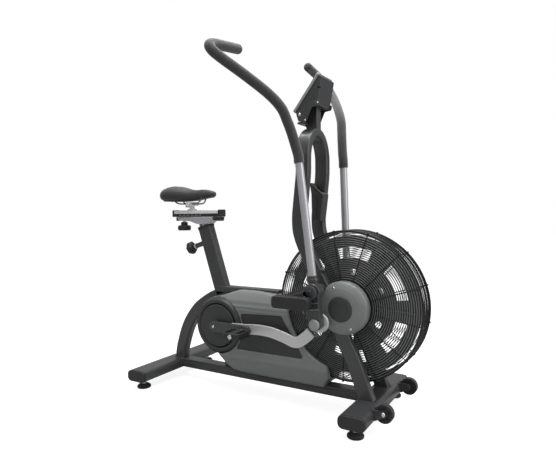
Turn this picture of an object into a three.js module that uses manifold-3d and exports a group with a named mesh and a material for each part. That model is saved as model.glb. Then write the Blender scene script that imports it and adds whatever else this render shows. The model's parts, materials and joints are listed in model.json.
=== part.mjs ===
// Air bike: fan-braked exercise bike with swinging arm levers.
// Units are millimetres. +X points forward to the fan, +Y is the rider's left, +Z is up.
// Drawing coordinates put x = 0 on the crank axis and z = 0 on the floor.
import * as THREE from 'three';
import { mergeVertices } from 'three/addons/utils/BufferGeometryUtils.js';
import Module from 'manifold-3d';

const wasm = await Module();
wasm.setup();

// ---------------------------------------------------------------- dimensions

const GAP = 0.4;
const TOLERANCE = 0.15;

const REAR_BAR = { x: -332, z: 63, length: 104, height: 50, halfWidth: 268 };
const FRONT_BAR = { x: 708, z: 63, length: 104, height: 50, halfWidth: 256 };
const END_CAP = 12;
const FOOT = { rearY: 228, frontY: 223, radius: 31, height: 15 };
const BEAM = { halfWidth: 28, z0: 48, z1: 90 };

const CRANK = { z: 298, reach: 172, discRadius: 95, ringRadius: 126, ringFace: 115 };
const FAN = { x: 607, z: 430, radius: 278, guardRadius: 297, halfDepth: 27 };
const FAN_WINDOW = { count: 6, first: 27, halfSpan: 18.5, inner: 187, outer: 232, holeAt: 124, hole: 9 };
const BELT = { y0: 34, y1: 45, driveRadius: 104, fanRadius: 30 };

const MAST = { inner: 70, outer: 106, width: 58 };
const MAST_LINE = [
  [706, 80], [678, 155], [647, 236], [617, 292], [599, 341], [566, 415], [531, 488], [505, 540],
  [484, 580], [463, 625], [440, 670], [422, 722], [418, 772], [421, 815], [430, 893], [437, 960],
  [438, 1030],
];
const ARCH = { x0: 409, x1: 466, foot: 1000, spring: 1018, top: 1150 };

const REAR_LEG_LINE = [
  [-301, 80], [-289, 150], [-250, 255], [-192, 335], [-135, 380], [-70, 414], [0, 430],
];
const REAR_LEG = { width: 58, halfWidth: 22 };

const RAKE = 18;
const TUBE_TOP = { x: -138, z: 742 };
const TUBE = { length: 70, halfWidth: 22, wall: 6 };

const PIVOT = { x: 519, z: 497.5 };
const LEAN = { right: -7, left: -1.7 };
const LOWER_ARM = 122;
const LEVER_Y = 163;
const HANDLE_LINE = [
  [0, 163, 505], [0, 163, 530], [-4, 168, 565], [-9, 178, 615], [-15, 192, 662], [-24, 211, 712],
  [-50, 250, 765], [-98, 322, 832], [-143, 384, 888], [-168, 411, 921], [-183, 407, 947],
  [-188, 375, 963], [-188, 320, 973], [-186, 265, 981], [-185, 219, 988],
];
const LINK_LINE = [
  [-442, -78.4], [-384, -76], [-325, -72], [-244, -71], [-172, -81], [-110, -92], [-61, -64], [0, 0],
];

const HUB = { inner: 140, outer: 190, radius: 34, axle: 11 };
const CONSOLE_HALF = 65;
const SHROUD = { face: 88, wall: 4 };

const WIRE = 5;

const ORIGIN_X = (REAR_BAR.x - REAR_BAR.length / 2 + FAN.x + FAN.guardRadius + WIRE / 2) / 2;

const radians = (degrees) => THREE.MathUtils.degToRad(degrees);
const LEVER_SIDES = [['right', -1], ['left', 1]];

// ---------------------------------------------------------------- solid tools

function withoutSlivers(index) {
  const kept = [];
  for (let i = 0; i < index.length; i += 3) {
    const [a, b, c] = [index[i], index[i + 1], index[i + 2]];
    if (a !== b && b !== c && c !== a) kept.push(a, b, c);
  }
  return kept;
}

function solidFrom(geometry) {
  const bare = new THREE.BufferGeometry();
  bare.setAttribute('position', geometry.getAttribute('position').clone());
  if (geometry.index) bare.setIndex(geometry.index.clone());
  const welded = mergeVertices(bare, 1e-3);
  const mesh = new wasm.Mesh({
    numProp: 3,
    vertProperties: new Float32Array(welded.getAttribute('position').array),
    triVerts: new Uint32Array(withoutSlivers(Array.from(welded.index.array))),
  });
  return new wasm.Manifold(mesh);
}

function geometryFrom(solid) {
  const mesh = solid.getMesh();
  const geometry = new THREE.BufferGeometry();
  geometry.setAttribute('position', new THREE.BufferAttribute(new Float32Array(mesh.vertProperties), 3));
  geometry.setIndex(Array.from(mesh.triVerts));
  return geometry;
}

const join = (...solids) => solids.reduce((whole, solid) => whole.add(solid));
const cut = (solid, ...tools) => tools.reduce((rest, tool) => rest.subtract(tool), solid);

function changed(solid, change) {
  const geometry = geometryFrom(solid);
  change(geometry);
  return solidFrom(geometry);
}

function mirrored(solid) {
  const geometry = geometryFrom(solid);
  geometry.scale(1, -1, 1);
  const index = geometry.index.array;
  for (let i = 0; i < index.length; i += 3) [index[i], index[i + 1]] = [index[i + 1], index[i]];
  return solidFrom(geometry);
}

const onSide = (solid, side) => (side > 0 ? solid : mirrored(solid));

// Outline axes: 'y' takes [x, z] points, 'x' takes [y, z] points, 'z' takes [x, y] points.
const AXIS_MATRIX = {
  x: new THREE.Matrix4().makeBasis(
    new THREE.Vector3(0, 1, 0), new THREE.Vector3(0, 0, 1), new THREE.Vector3(1, 0, 0)),
  y: new THREE.Matrix4().makeBasis(
    new THREE.Vector3(1, 0, 0), new THREE.Vector3(0, 0, 1), new THREE.Vector3(0, -1, 0)),
  z: new THREE.Matrix4(),
};

function shapeOf(outline) {
  if (outline instanceof THREE.Shape) return outline;
  return new THREE.Shape(outline.map(([a, b]) => new THREE.Vector2(a, b)));
}

function prism(outline, axis, from, to, bevel = 0, segments = 8) {
  const geometry = new THREE.ExtrudeGeometry(shapeOf(outline), {
    depth: to - from - 2 * bevel,
    curveSegments: segments,
    bevelEnabled: bevel > 0,
    bevelThickness: bevel,
    bevelSize: bevel,
    bevelOffset: -bevel,
    bevelSegments: 1,
  });
  geometry.translate(0, 0, bevel);
  geometry.applyMatrix4(AXIS_MATRIX[axis]);
  const start = axis === 'y' ? to : from;
  geometry.translate(axis === 'x' ? start : 0, axis === 'y' ? start : 0, axis === 'z' ? start : 0);
  return solidFrom(geometry);
}

const box = (x0, x1, y0, y1, z0, z1) =>
  prism([[x0, z0], [x1, z0], [x1, z1], [x0, z1]], 'y', y0, y1);

function roundedRect(x0, x1, y0, y1, radius) {
  const shape = new THREE.Shape();
  shape.moveTo(x0 + radius, y0);
  shape.lineTo(x1 - radius, y0);
  shape.absarc(x1 - radius, y0 + radius, radius, -Math.PI / 2, 0);
  shape.lineTo(x1, y1 - radius);
  shape.absarc(x1 - radius, y1 - radius, radius, 0, Math.PI / 2);
  shape.lineTo(x0 + radius, y1);
  shape.absarc(x0 + radius, y1 - radius, radius, Math.PI / 2, Math.PI);
  shape.lineTo(x0, y0 + radius);
  shape.absarc(x0 + radius, y0 + radius, radius, Math.PI, Math.PI * 1.5);
  return shape;
}

// A profile of [radius, height] points turned about the chosen axis through (a, b).
function turned(profile, axis, centre = [0, 0], segments = 24) {
  const points = profile.map(([radius, height]) => new THREE.Vector2(radius, height));
  const closedRing = profile[0][0] > 0 && profile[profile.length - 1][0] > 0;
  if (closedRing) points.push(points[0].clone());
  const geometry = new THREE.LatheGeometry(points, segments);
  if (axis === 'z') geometry.rotateX(Math.PI / 2);
  if (axis === 'x') geometry.rotateZ(-Math.PI / 2);
  if (axis === 'y') geometry.translate(centre[0], 0, centre[1]);
  if (axis === 'z') geometry.translate(centre[0], centre[1], 0);
  if (axis === 'x') geometry.translate(0, centre[0], centre[1]);
  return solidFrom(geometry);
}

const disc = (radius, from, to, axis, centre, segments = 20) =>
  turned([[0, from], [radius, from], [radius, to], [0, to]], axis, centre, segments);

function smoothLine(points, steps) {
  const curve = new THREE.CatmullRomCurve3(points.map(([a, b]) => new THREE.Vector3(a, b, 0)));
  return curve.getSpacedPoints(steps).map((p) => [p.x, p.y]);
}

// Outline of a bar of constant width that follows a centre line.
function ribbon(line, width) {
  const left = [];
  const right = [];
  line.forEach(([a, b], i) => {
    const [a0, b0] = line[Math.max(i - 1, 0)];
    const [a1, b1] = line[Math.min(i + 1, line.length - 1)];
    const length = Math.hypot(a1 - a0, b1 - b0);
    const [na, nb] = [-(b1 - b0) / length, (a1 - a0) / length];
    left.push([a + (na * width) / 2, b + (nb * width) / 2]);
    right.unshift([a - (na * width) / 2, b - (nb * width) / 2]);
  });
  return [...right.reverse(), ...left.reverse()];
}

function sweep(points, radius, steps, sides) {
  const shape = new THREE.Shape();
  shape.absarc(0, 0, radius, 0, Math.PI * 2);
  const places = points.map((p) => new THREE.Vector3(...p));
  const path = new THREE.CatmullRomCurve3(places, false, 'centripetal');
  const geometry = new THREE.ExtrudeGeometry(shape, {
    steps, curveSegments: sides, bevelEnabled: false, extrudePath: path,
  });
  return solidFrom(geometry);
}

function rod(start, end, radius, segments = 16) {
  const [a, b] = [new THREE.Vector3(...start), new THREE.Vector3(...end)];
  const along = b.clone().sub(a);
  const geometry = new THREE.CylinderGeometry(radius, radius, along.length(), segments);
  const upright = new THREE.Vector3(0, 1, 0);
  const turn = new THREE.Quaternion().setFromUnitVectors(upright, along.clone().normalize());
  geometry.applyQuaternion(turn);
  geometry.translate(...a.add(b).multiplyScalar(0.5).toArray());
  return solidFrom(geometry);
}

// ---------------------------------------------------------------- finishes

const FINISHES = {
  charcoal: { color: 0x3a3b3d, roughness: 0.55, metalness: 0.2 },
  black: { color: 0x1d1e20, roughness: 0.6, metalness: 0.05 },
  wire: { color: 0x161718, roughness: 0.4, metalness: 0.3 },
  grey: { color: 0x777b7a, roughness: 0.4, metalness: 0.1 },
  silver: { color: 0xb9babd, roughness: 0.3, metalness: 0.8 },
  foam: { color: 0x3f4042, roughness: 0.9, metalness: 0 },
  rubber: { color: 0x202122, roughness: 0.85, metalness: 0 },
  saddle: { color: 0x303133, roughness: 0.7, metalness: 0 },
  screen: { color: 0x0c1114, roughness: 0.1, metalness: 0 },
  button: { color: 0x9a9da0, roughness: 0.6, metalness: 0 },
};

const bike = new THREE.Group();
bike.name = 'air_bike';
const drawing = new THREE.Group();
drawing.name = 'drawing_frame';
drawing.position.x = -ORIGIN_X;
bike.add(drawing);

function place(name, solid, finish, parent = drawing) {
  const tidy = solid.simplify(TOLERANCE);
  const mesh = new THREE.Mesh(geometryFrom(tidy), new THREE.MeshStandardMaterial(FINISHES[finish]));
  mesh.name = name;
  parent.add(mesh);
  return mesh;
}

// ---------------------------------------------------------------- transport wheels

const WHEEL = { x: 793.5, z: 79.5, y: 158.5, radius: 34, half: 12 };

function wheelBracket(side) {
  const outline = [[735, 52], [768, 54], [801, 70], [805, 80], [799, 89], [770, 92], [735, 84]];
  const cheeks = [-1, 1].map((s) => {
    const y = WHEEL.y + s * (WHEEL.half + 4);
    return prism(outline, 'y', y - 2.5, y + 2.5);
  });
  const axle = disc(6, WHEEL.y - 16, WHEEL.y + 16, 'y', [WHEEL.x, WHEEL.z], 12);
  return onSide(join(...cheeks, axle), side);
}

function transportWheel(side) {
  const { radius, half, y } = WHEEL;
  const profile = [[6 + GAP, y - half], [radius - 3, y - half], [radius, y - half + 4],
    [radius, y + half - 4], [radius - 3, y + half], [6 + GAP, y + half]];
  return onSide(turned(profile, 'y', [WHEEL.x, WHEEL.z], 24), side);
}

// ---------------------------------------------------------------- welded frame

function crossBar(bar) {
  const section = roundedRect(
    bar.x - bar.length / 2, bar.x + bar.length / 2,
    bar.z - bar.height / 2, bar.z + bar.height / 2, bar.height / 2 - 2);
  return prism(section, 'y', -bar.halfWidth, bar.halfWidth, 0, 3);
}

const rearLegLine = smoothLine(REAR_LEG_LINE, 13);
const mastLine = smoothLine(MAST_LINE, 20);

function mastMember(side, width = MAST.width, grow = 0) {
  const plate = prism(ribbon(mastLine, width), 'y', MAST.inner - grow, MAST.outer + grow);
  return onSide(plate, side);
}

function mastArch() {
  const { spring, top, foot } = ARCH;
  const shape = new THREE.Shape();
  shape.moveTo(MAST.outer, foot);
  shape.absellipse(0, spring, MAST.outer, top - spring, 0, Math.PI, false, 0);
  shape.lineTo(-MAST.outer, foot);
  shape.lineTo(-MAST.inner, foot);
  shape.absellipse(0, spring, MAST.inner, top - spring - 36, Math.PI, 0, true, 0);
  shape.lineTo(MAST.inner, foot);
  return prism(shape, 'x', ARCH.x0, ARCH.x1, 0, 8);
}

const rakeMatrix = () => new THREE.Matrix4()
  .makeRotationY(radians(-RAKE))
  .setPosition(TUBE_TOP.x, 0, TUBE_TOP.z);

// A rectangular bar on the raked seat-tube axis; along is measured up from the tube's mouth.
function rakedBar(length, halfWidth, from, to, bevel = 0) {
  const bar = prism(roundedRect(-length / 2, length / 2, -halfWidth, halfWidth, 5), 'z', from, to, bevel, 1);
  return changed(bar, (g) => g.applyMatrix4(rakeMatrix()));
}

function seatTube() {
  const outer = rakedBar(TUBE.length, TUBE.halfWidth, -330, 0);
  const bore = rakedBar(TUBE.length - 2 * TUBE.wall, TUBE.halfWidth - TUBE.wall, -300, 1);
  const pinBush = changed(disc(13, TUBE.length / 2 - 2, TUBE.length / 2 + 14, 'y', [0, 0], 16), (g) => {
    g.rotateZ(Math.PI / 2);
    g.translate(0, 0, -74);
    g.applyMatrix4(rakeMatrix());
  });
  const pinBore = changed(disc(6, TUBE.length / 2 - 12, TUBE.length / 2 + 20, 'y', [0, 0], 12), (g) => {
    g.rotateZ(Math.PI / 2);
    g.translate(0, 0, -74);
    g.applyMatrix4(rakeMatrix());
  });
  return { solid: cut(join(outer, pinBush), bore, pinBore), bore: join(bore, pinBore) };
}

function fanBearing(side) {
  const plate = disc(62, MAST.inner + 6, MAST.outer - 6, 'y', [FAN.x, FAN.z], 20);
  return onSide(plate, side);
}

function guardStub(side) {
  const stub = rod([480, 96, 572], [533, 96, 572], 9, 12);
  return onSide(stub, side);
}

function pivotAxle(side) {
  const root = MAST.inner + 10;
  const profile = [[0, root], [24, root], [24, 112], [HUB.axle, 114], [HUB.axle, 204], [0, 204]];
  return onSide(turned(profile, 'y', [PIVOT.x, PIVOT.z], 16), side);
}

function mainFrame() {
  const tube = seatTube();
  const beamSection = roundedRect(-BEAM.halfWidth, BEAM.halfWidth, BEAM.z0, BEAM.z1, 9);
  const beam = prism(beamSection, 'x', -310, 690, 0, 3);
  const rearLeg = prism(ribbon(rearLegLine, REAR_LEG.width), 'y', -REAR_LEG.halfWidth, REAR_LEG.halfWidth);
  const topTube = prism(roundedRect(-24, 24, 434, 464, 7), 'x', -60, 275, 0, 3);
  const post = box(-24, 24, -18, 18, 85, 440);
  const bearing = disc(30, -30, 30, 'y', [0, CRANK.z], 20);
  const consolePost = prism(roundedRect(430, 466, -20, 20, 5), 'z', 1135, 1232, 0, 3);
  const shoulder = box(417, 464, -30, 30, 1118, 1140);
  const parts = [
    crossBar(REAR_BAR), crossBar(FRONT_BAR), beam, rearLeg, topTube, post, bearing, tube.solid,
    mastArch(), consolePost, shoulder,
  ];
  for (const [, side] of LEVER_SIDES) {
    parts.push(mastMember(side), fanBearing(side), guardStub(side), pivotAxle(side), wheelBracket(side));
  }
  return cut(
    join(...parts),
    tube.bore,
    disc(10 + GAP, -40, 40, 'y', [0, CRANK.z], 16),
    disc(8 + GAP, -120, 120, 'y', [FAN.x, FAN.z], 16));
}

place('main_frame', mainFrame(), 'charcoal');

function endCap(bar, side) {
  const section = roundedRect(
    bar.x - bar.length / 2, bar.x + bar.length / 2,
    bar.z - bar.height / 2, bar.z + bar.height / 2, bar.height / 2 - 2);
  const y0 = bar.halfWidth + GAP;
  return onSide(prism(section, 'y', y0, bar.halfWidth + END_CAP, 3, 3), side);
}

function levellingFoot(bar, y) {
  const top = bar.z - bar.height / 2 - GAP;
  const profile = [[0, 0], [FOOT.radius, 0], [FOOT.radius, 9], [FOOT.radius - 6, FOOT.height],
    [11, FOOT.height + 2], [11, top], [0, top]];
  return turned(profile, 'z', [bar.x, y], 20);
}

for (const [sideName, side] of LEVER_SIDES) {
  place(`rear_cap_${sideName}`, endCap(REAR_BAR, side), 'black');
  place(`front_cap_${sideName}`, endCap(FRONT_BAR, side), 'black');
  place(`rear_foot_${sideName}`, levellingFoot(REAR_BAR, side * FOOT.rearY), 'rubber');
  place(`front_foot_${sideName}`, levellingFoot(FRONT_BAR, side * FOOT.frontY), 'rubber');
  place(`transport_wheel_${sideName}`, transportWheel(side), 'rubber');
}

// ---------------------------------------------------------------- drive cover

// Side outline of the drive cover, grown by a distance (negative shrinks it).
function coverOutline(grow) {
  const shape = new THREE.Shape();
  const frontRadius = 254 - grow;
  shape.absarc(0, CRANK.z, CRANK.ringRadius + grow, Math.PI / 2, Math.PI * 1.5, false);
  shape.quadraticCurveTo(26, 116 - grow, 84, 99 - grow);
  shape.quadraticCurveTo(101, 94 - grow, 130, 94 - grow);
  shape.lineTo(507 + grow / 2, 94 - grow);
  shape.lineTo(543 + grow, 152);
  shape.absarc(FAN.x, FAN.z, frontRadius, radians(253), radians(181), true);
  shape.lineTo(349 + grow, 430);
  shape.quadraticCurveTo(330, 445 + grow, 282, 448 + grow);
  shape.lineTo(176, 455 + grow);
  shape.lineTo(90, 455 + grow);
  shape.quadraticCurveTo(40, 440 + grow, 0, CRANK.z + CRANK.ringRadius + grow);
  return shape;
}

// Half cross-section of the cover seen from the front, one side of the mid-plane.
function coverSection(grow) {
  const out = SHROUD.face + grow;
  return [[0, 90 - grow], [66 + grow, 90 - grow], [78 + grow, 108 - grow], [out - 1, 160], [out + 2, 190],
    [out, 198], [out, 368], [out + 2, 378], [out - 3, 410], [out - 16, 436], [out - 38, 462 + grow],
    [0, 462 + grow]];
}

const PANEL = [[127, 362], [329, 373], [436, 204], [100, 202]];

function coverHalf(side) {
  const outer = prism(coverOutline(0), 'y', GAP / 2, 110, 0, 7).intersect(
    prism(coverSection(0), 'x', -200, 640));
  const inner = prism(coverOutline(-SHROUD.wall), 'y', -5, 110, 0, 7).intersect(
    prism(coverSection(-SHROUD.wall), 'x', -200, 640));
  const frameRoom = [
    prism(ribbon(rearLegLine, REAR_LEG.width + 4), 'y', -5, REAR_LEG.halfWidth + 1.5),
    box(-120, 283, -5, 25.5, 432, 480),
    box(-26, 26, -5, 24, 80, 200),
    box(-26, 26, -5, 24, 400, 480),
    changed(prism(roundedRect(-38, 38, -24, 24, 4), 'z', -345, -250), (g) => g.applyMatrix4(rakeMatrix())),
  ];
  const guardRoom = disc(FAN.guardRadius + 11, -5, 71, 'y', [FAN.x, FAN.z], 44);
  const ringRoom = disc(CRANK.ringRadius + GAP + 0.8, 74, 120, 'y', [0, CRANK.z], 32);
  const panelRoom = prism(PANEL, 'y', SHROUD.face - 3.2, 120);
  const shell = cut(outer, inner, ...frameRoom, guardRoom, ringRoom, panelRoom);
  const pieces = shell.decompose();
  pieces.sort((a, b) => b.volume() - a.volume());
  return onSide(pieces[0], side);
}

function sidePanel(side) {
  const plate = prism(PANEL, 'y', SHROUD.face - 3, SHROUD.face - 0.6, 0.5);
  const shrunk = changed(plate, (g) => {
    g.translate(-250, 0, -285);
    g.scale(0.996, 1, 0.992);
    g.translate(250, 0, 285);
  });
  return onSide(cut(shrunk, disc(CRANK.ringRadius + 1.2, 60, 120, 'y', [0, CRANK.z], 28)), side);
}

// Dark drum around the crank disc. Its rim tapers towards the rider, and a thin web closes the back.
function crankRing(side) {
  const { ringRadius, ringFace, discRadius } = CRANK;
  const hole = discRadius + 4;
  const profile = [[14, 74.5], [ringRadius, 74.5], [ringRadius, 87], [ringFace, 100], [hole + 3, 100],
    [hole, 97], [hole, 79], [14, 79]];
  return onSide(turned(profile, 'y', [0, CRANK.z], 28), side);
}

for (const [sideName, side] of LEVER_SIDES) {
  place(`drive_cover_${sideName}`, coverHalf(side), 'grey');
  place(`side_panel_${sideName}`, sidePanel(side), 'charcoal');
  place(`crank_ring_${sideName}`, crankRing(side), 'black');
}

// ---------------------------------------------------------------- fan guard

const GUARD_SIDE = [[112, 63.5], [190, 62.5], [260, 58], [FAN.guardRadius, 50]];

function guardSide(side) {
  const rings = GUARD_SIDE.map(([radius, y]) =>
    turned([[radius, y - WIRE / 2], [radius + WIRE / 2, y], [radius, y + WIRE / 2], [radius - WIRE / 2, y]],
      'y', [FAN.x, FAN.z], 24));
  const spoke = prism(ribbon(GUARD_SIDE, 4), 'z', -2, 2);
  const spokes = [];
  for (let i = 0; i < 6; i += 1) {
    spokes.push(changed(spoke, (g) => {
      g.rotateY(radians(30 + i * 60));
      g.translate(FAN.x, 0, FAN.z);
    }));
  }
  return onSide(join(...rings, ...spokes), side);
}

// One zigzag wire runs round the rim and stays open where the belt enters.
function guardRim() {
  const points = [];
  const steps = 40;
  for (let i = 0; i <= steps; i += 1) {
    const angle = radians(-144 + (312 * i) / steps);
    const y = i % 2 ? 43.5 : -43.5;
    points.push([FAN.x + FAN.guardRadius * Math.cos(angle), y, FAN.z + FAN.guardRadius * Math.sin(angle)]);
  }
  return sweep(points, 2.4, steps * 2, 2);
}

function hubBell(side) {
  const profile = [[100, 73], [104, 73], [104, 80], [98, 97], [80, 113], [62, 120.5], [50, 122],
    [50, 118.5], [78, 109.5], [94, 94.5]];
  const bell = turned(profile, 'y', [FAN.x, FAN.z], 28);
  const memberRoom = mastMember(1, MAST.width + 4, 2);
  const bearingRoom = disc(64, 60, 103, 'y', [FAN.x, FAN.z], 32);
  const axleRoom = disc(13.5, 60, 130, 'y', [PIVOT.x, PIVOT.z], 20);
  return onSide(cut(bell, memberRoom, bearingRoom, axleRoom), side);
}

function hubDisc(side) {
  const profile = [[0, 108], [46, 108], [48, 110], [49.5, 116], [49.5, 123], [46, 126.5],
    [20, 128], [0, 128]];
  return onSide(turned(profile, 'y', [FAN.x, FAN.z], 24), side);
}

for (const [sideName, side] of LEVER_SIDES) {
  place(`fan_guard_${sideName}`, guardSide(side), 'wire');
  place(`hub_bell_${sideName}`, hubBell(side), 'grey');
  place(`hub_disc_${sideName}`, hubDisc(side), 'charcoal');
}
place('fan_guard_rim', guardRim(), 'wire');

function beltOutline(grow) {
  const [r0, r1] = [BELT.driveRadius + grow, BELT.fanRadius + grow];
  const [dx, dz] = [FAN.x, FAN.z - CRANK.z];
  const distance = Math.hypot(dx, dz);
  const tilt = Math.atan2(dz, dx);
  const wrap = Math.acos((r0 - r1) / distance);
  const shape = new THREE.Shape();
  shape.absarc(0, CRANK.z, r0, tilt + wrap, tilt - wrap + Math.PI * 2, false);
  shape.absarc(FAN.x, FAN.z, r1, tilt - wrap, tilt + wrap, false);
  return shape;
}

function driveBelt() {
  const outer = prism(beltOutline(4), 'y', -BELT.y1, -BELT.y0, 0, 10);
  const inner = prism(beltOutline(GAP + 0.6), 'y', -BELT.y1 - 1, -BELT.y0 + 1, 0, 10);
  return cut(outer, inner);
}

function beltGuard() {
  const outer = prism(beltOutline(12), 'y', -BELT.y1 - 5, -BELT.y0 + 2, 0, 10);
  const inner = prism(beltOutline(9), 'y', -BELT.y1 - 3, -BELT.y0 + 10, 0, 10);
  const rear = box(-200, 354, -80, 0, 100, 600);
  return cut(outer, inner, rear, disc(10 + GAP, -100, 0, 'y', [FAN.x, FAN.z], 20));
}

place('drive_belt', driveBelt(), 'rubber');
place('belt_guard', beltGuard(), 'black');

// ---------------------------------------------------------------- fan

function fanWindow(middle) {
  const { halfSpan, inner, outer } = FAN_WINDOW;
  const [from, to] = [radians(middle - halfSpan), radians(middle + halfSpan)];
  const sector = new THREE.Shape();
  sector.absarc(FAN.x, FAN.z, outer, from, to, false);
  sector.absarc(FAN.x, FAN.z, inner, to, from, true);
  return prism(sector, 'y', -10, 10, 0, 3);
}

function fanHole(middle) {
  const { holeAt, hole } = FAN_WINDOW;
  const at = [FAN.x + holeAt * Math.cos(radians(middle)), FAN.z + holeAt * Math.sin(radians(middle))];
  return disc(hole, -10, 10, 'y', at, 8);
}

// Stamped wheel: a plate with windows and small holes, and a radial vane on each web between windows.
function fanWheel() {
  const { count, first } = FAN_WINDOW;
  const [plateHalf, hubRadius, axleRadius] = [2, 46, 8];
  const centre = [FAN.x, FAN.z];
  const blade = ribbon([[hubRadius - 4, 0], [FAN.radius - 6, 0]], 3);
  const vane = prism(blade, 'y', -FAN.halfDepth, FAN.halfDepth);
  const middles = Array.from({ length: count }, (_, i) => first + (i * 360) / count);
  const vanes = middles.map((middle) => changed(vane, (g) => {
    g.rotateY(-radians(middle + 180 / count));
    g.translate(FAN.x, 0, FAN.z);
  }));
  const plate = cut(
    disc(FAN.radius, -plateHalf, plateHalf, 'y', centre, 36),
    ...middles.map(fanWindow),
    ...middles.map(fanHole));
  const hub = disc(hubRadius, -24, 24, 'y', centre, 24);
  const axle = disc(axleRadius, -104, 104, 'y', centre, 16);
  return join(plate, hub, axle, ...vanes);
}

function grooved(outer, from, to, centre, bore) {
  const profile = [[bore, from], [outer + 3, from], [outer, from + 1.6], [outer, to - 1.6],
    [outer + 3, to], [bore, to]];
  return turned(profile, 'y', centre, 30);
}

const fanPulley = () => grooved(BELT.fanRadius, -BELT.y1 - 2, -BELT.y0 + 2, [FAN.x, FAN.z], 6);
place('fan', join(fanWheel(), fanPulley()), 'charcoal');

// ---------------------------------------------------------------- crank and pedals

const ARM = { inner: 115, outer: 131 };
const PEDAL = { inner: 147, outer: 241, halfLength: 41, halfHeight: 13, spindle: 7 };

function crankDisc(side) {
  const out = CRANK.discRadius;
  const profile = [[0, 95], [out, 95], [out, 101], [out - 2, 103], [0, 103]];
  return onSide(turned(profile, 'y', [0, CRANK.z], 28), side);
}

// Spindle, belt pulley and the two face discs turn as one piece.
function crankDrive() {
  const spindle = disc(10, -100, 100, 'y', [0, CRANK.z], 20);
  const pulley = grooved(BELT.driveRadius, -BELT.y1 - 2, -BELT.y0 + 2, [0, CRANK.z], 8);
  return join(spindle, pulley, crankDisc(1), crankDisc(-1));
}

place('crank_drive', crankDrive(), 'charcoal');

// The arms are opposed: the right one points forward, the left one back.
function opposed(solid, side) {
  const posed = side < 0 ? mirrored(solid) : changed(solid, (g) => g.rotateY(Math.PI));
  return changed(posed, (g) => g.translate(0, 0, CRANK.z));
}

function crankArm(side) {
  const outline = new THREE.Shape();
  outline.absarc(0, 0, 23, Math.PI / 2, Math.PI * 1.5, false);
  outline.lineTo(CRANK.reach, -21);
  outline.absarc(CRANK.reach, 0, 21, -Math.PI / 2, Math.PI / 2, false);
  const bar = prism(outline, 'y', ARM.inner, ARM.outer, 2, 6);
  const boss = disc(22, 103 + GAP, ARM.inner + 3, 'y', [0, 0], 20);
  const root = disc(15, ARM.outer - 1, ARM.outer + 2, 'y', [0, 0], 18);
  const pedalEye = disc(17, ARM.outer - 1, ARM.outer + 4, 'y', [CRANK.reach, 0], 18);
  const collar = disc(12, ARM.outer + 1, PEDAL.inner - 2, 'y', [CRANK.reach, 0], 14);
  const spindle = disc(PEDAL.spindle, ARM.inner + 1, PEDAL.outer + 1, 'y', [CRANK.reach, 0], 14);
  return opposed(join(bar, boss, root, pedalEye, collar, spindle), side);
}

function pedal(side) {
  const { inner, outer, halfLength, halfHeight, spindle } = PEDAL;
  const plan = roundedRect(CRANK.reach - halfLength, CRANK.reach + halfLength, inner, outer, 14);
  const body = prism(plan, 'z', -halfHeight, halfHeight, 3, 2);
  const windows = [-1, 1].map((s) => {
    const x = CRANK.reach + s * 25;
    return prism(roundedRect(x - 9, x + 9, inner + 16, outer - 14, 5), 'z', -40, 40, 0, 1);
  });
  const barrel = disc(15, inner, outer, 'y', [CRANK.reach, 0], 18);
  const bore = disc(spindle + GAP, inner - 10, outer + 10, 'y', [CRANK.reach, 0], 14);
  return opposed(cut(join(cut(body, ...windows), barrel), bore), side);
}

for (const [sideName, side] of LEVER_SIDES) {
  place(`crank_arm_${sideName}`, crankArm(side), 'charcoal');
  place(`pedal_${sideName}`, pedal(side), 'black');
}

// ---------------------------------------------------------------- arm levers

const LOWER = { inner: 160, outer: 192 };
const LINK = { rear: [104.5, 113.5], front: [143, 155], bendFrom: -306, bendTo: -70, eye: 38, rearEye: 20 };
const LINK_PIN = 10;

function footrest(side) {
  const body = prism(roundedRect(373, 531, 436, 484, 16), 'y', 206, 246, 4, 3);
  const carrier = prism(ribbon([[PIVOT.x, PIVOT.z], [470, 480], [430, 464]], 28), 'y', 194, 208, 2);
  const boss = disc(27, 192 + GAP, 208, 'y', [PIVOT.x, PIVOT.z], 20);
  const bore = disc(HUB.axle + GAP, 180, 204 + GAP, 'y', [PIVOT.x, PIVOT.z], 20);
  return onSide(cut(join(body, carrier, boss), bore), side);
}

// Lever parts are drawn upright with the pivot at the origin.
function leverHub() {
  const sleeve = disc(HUB.radius, HUB.inner, HUB.outer, 'y', [0, 0], 24);
  const socket = disc(20, 20, 62, 'z', [0, LEVER_Y], 20);
  const collar = disc(23, 40, 50, 'z', [0, LEVER_Y], 20);
  const armOutline = new THREE.Shape();
  armOutline.moveTo(-29, -6);
  armOutline.lineTo(-24, -LOWER_ARM);
  armOutline.absarc(0, -LOWER_ARM, 24, Math.PI, Math.PI * 2, false);
  armOutline.lineTo(29, -6);
  const arm = prism(armOutline, 'y', LOWER.inner, LOWER.outer, 0, 6);
  const pin = disc(LINK_PIN, LINK.front[0] - 3, LOWER.inner + 5, 'y', [0, -LOWER_ARM], 16);
  const bore = disc(HUB.axle + GAP, 100, 230, 'y', [0, 0], 18);
  const tubeBore = disc(16 + GAP, 44, 80, 'z', [0, LEVER_Y], 20);
  return cut(join(sleeve, socket, collar, arm, pin), bore, tubeBore);
}

function leverCap() {
  const y = LOWER.outer + GAP;
  return turned([[0, y], [20, y], [21, y + 2], [21, y + 9], [18, y + 12], [0, y + 13]],
    'y', [0, -LOWER_ARM], 20);
}

const leverTube = () => disc(16, 44 + GAP, 505 - GAP, 'z', [0, LEVER_Y], 28);

function leverGrip() {
  const foam = sweep(HANDLE_LINE, 20, 24, 5);
  const tip = new THREE.SphereGeometry(20, 10, 6);
  tip.translate(...HANDLE_LINE[HANDLE_LINE.length - 1]);
  return join(foam, solidFrom(tip));
}

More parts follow.
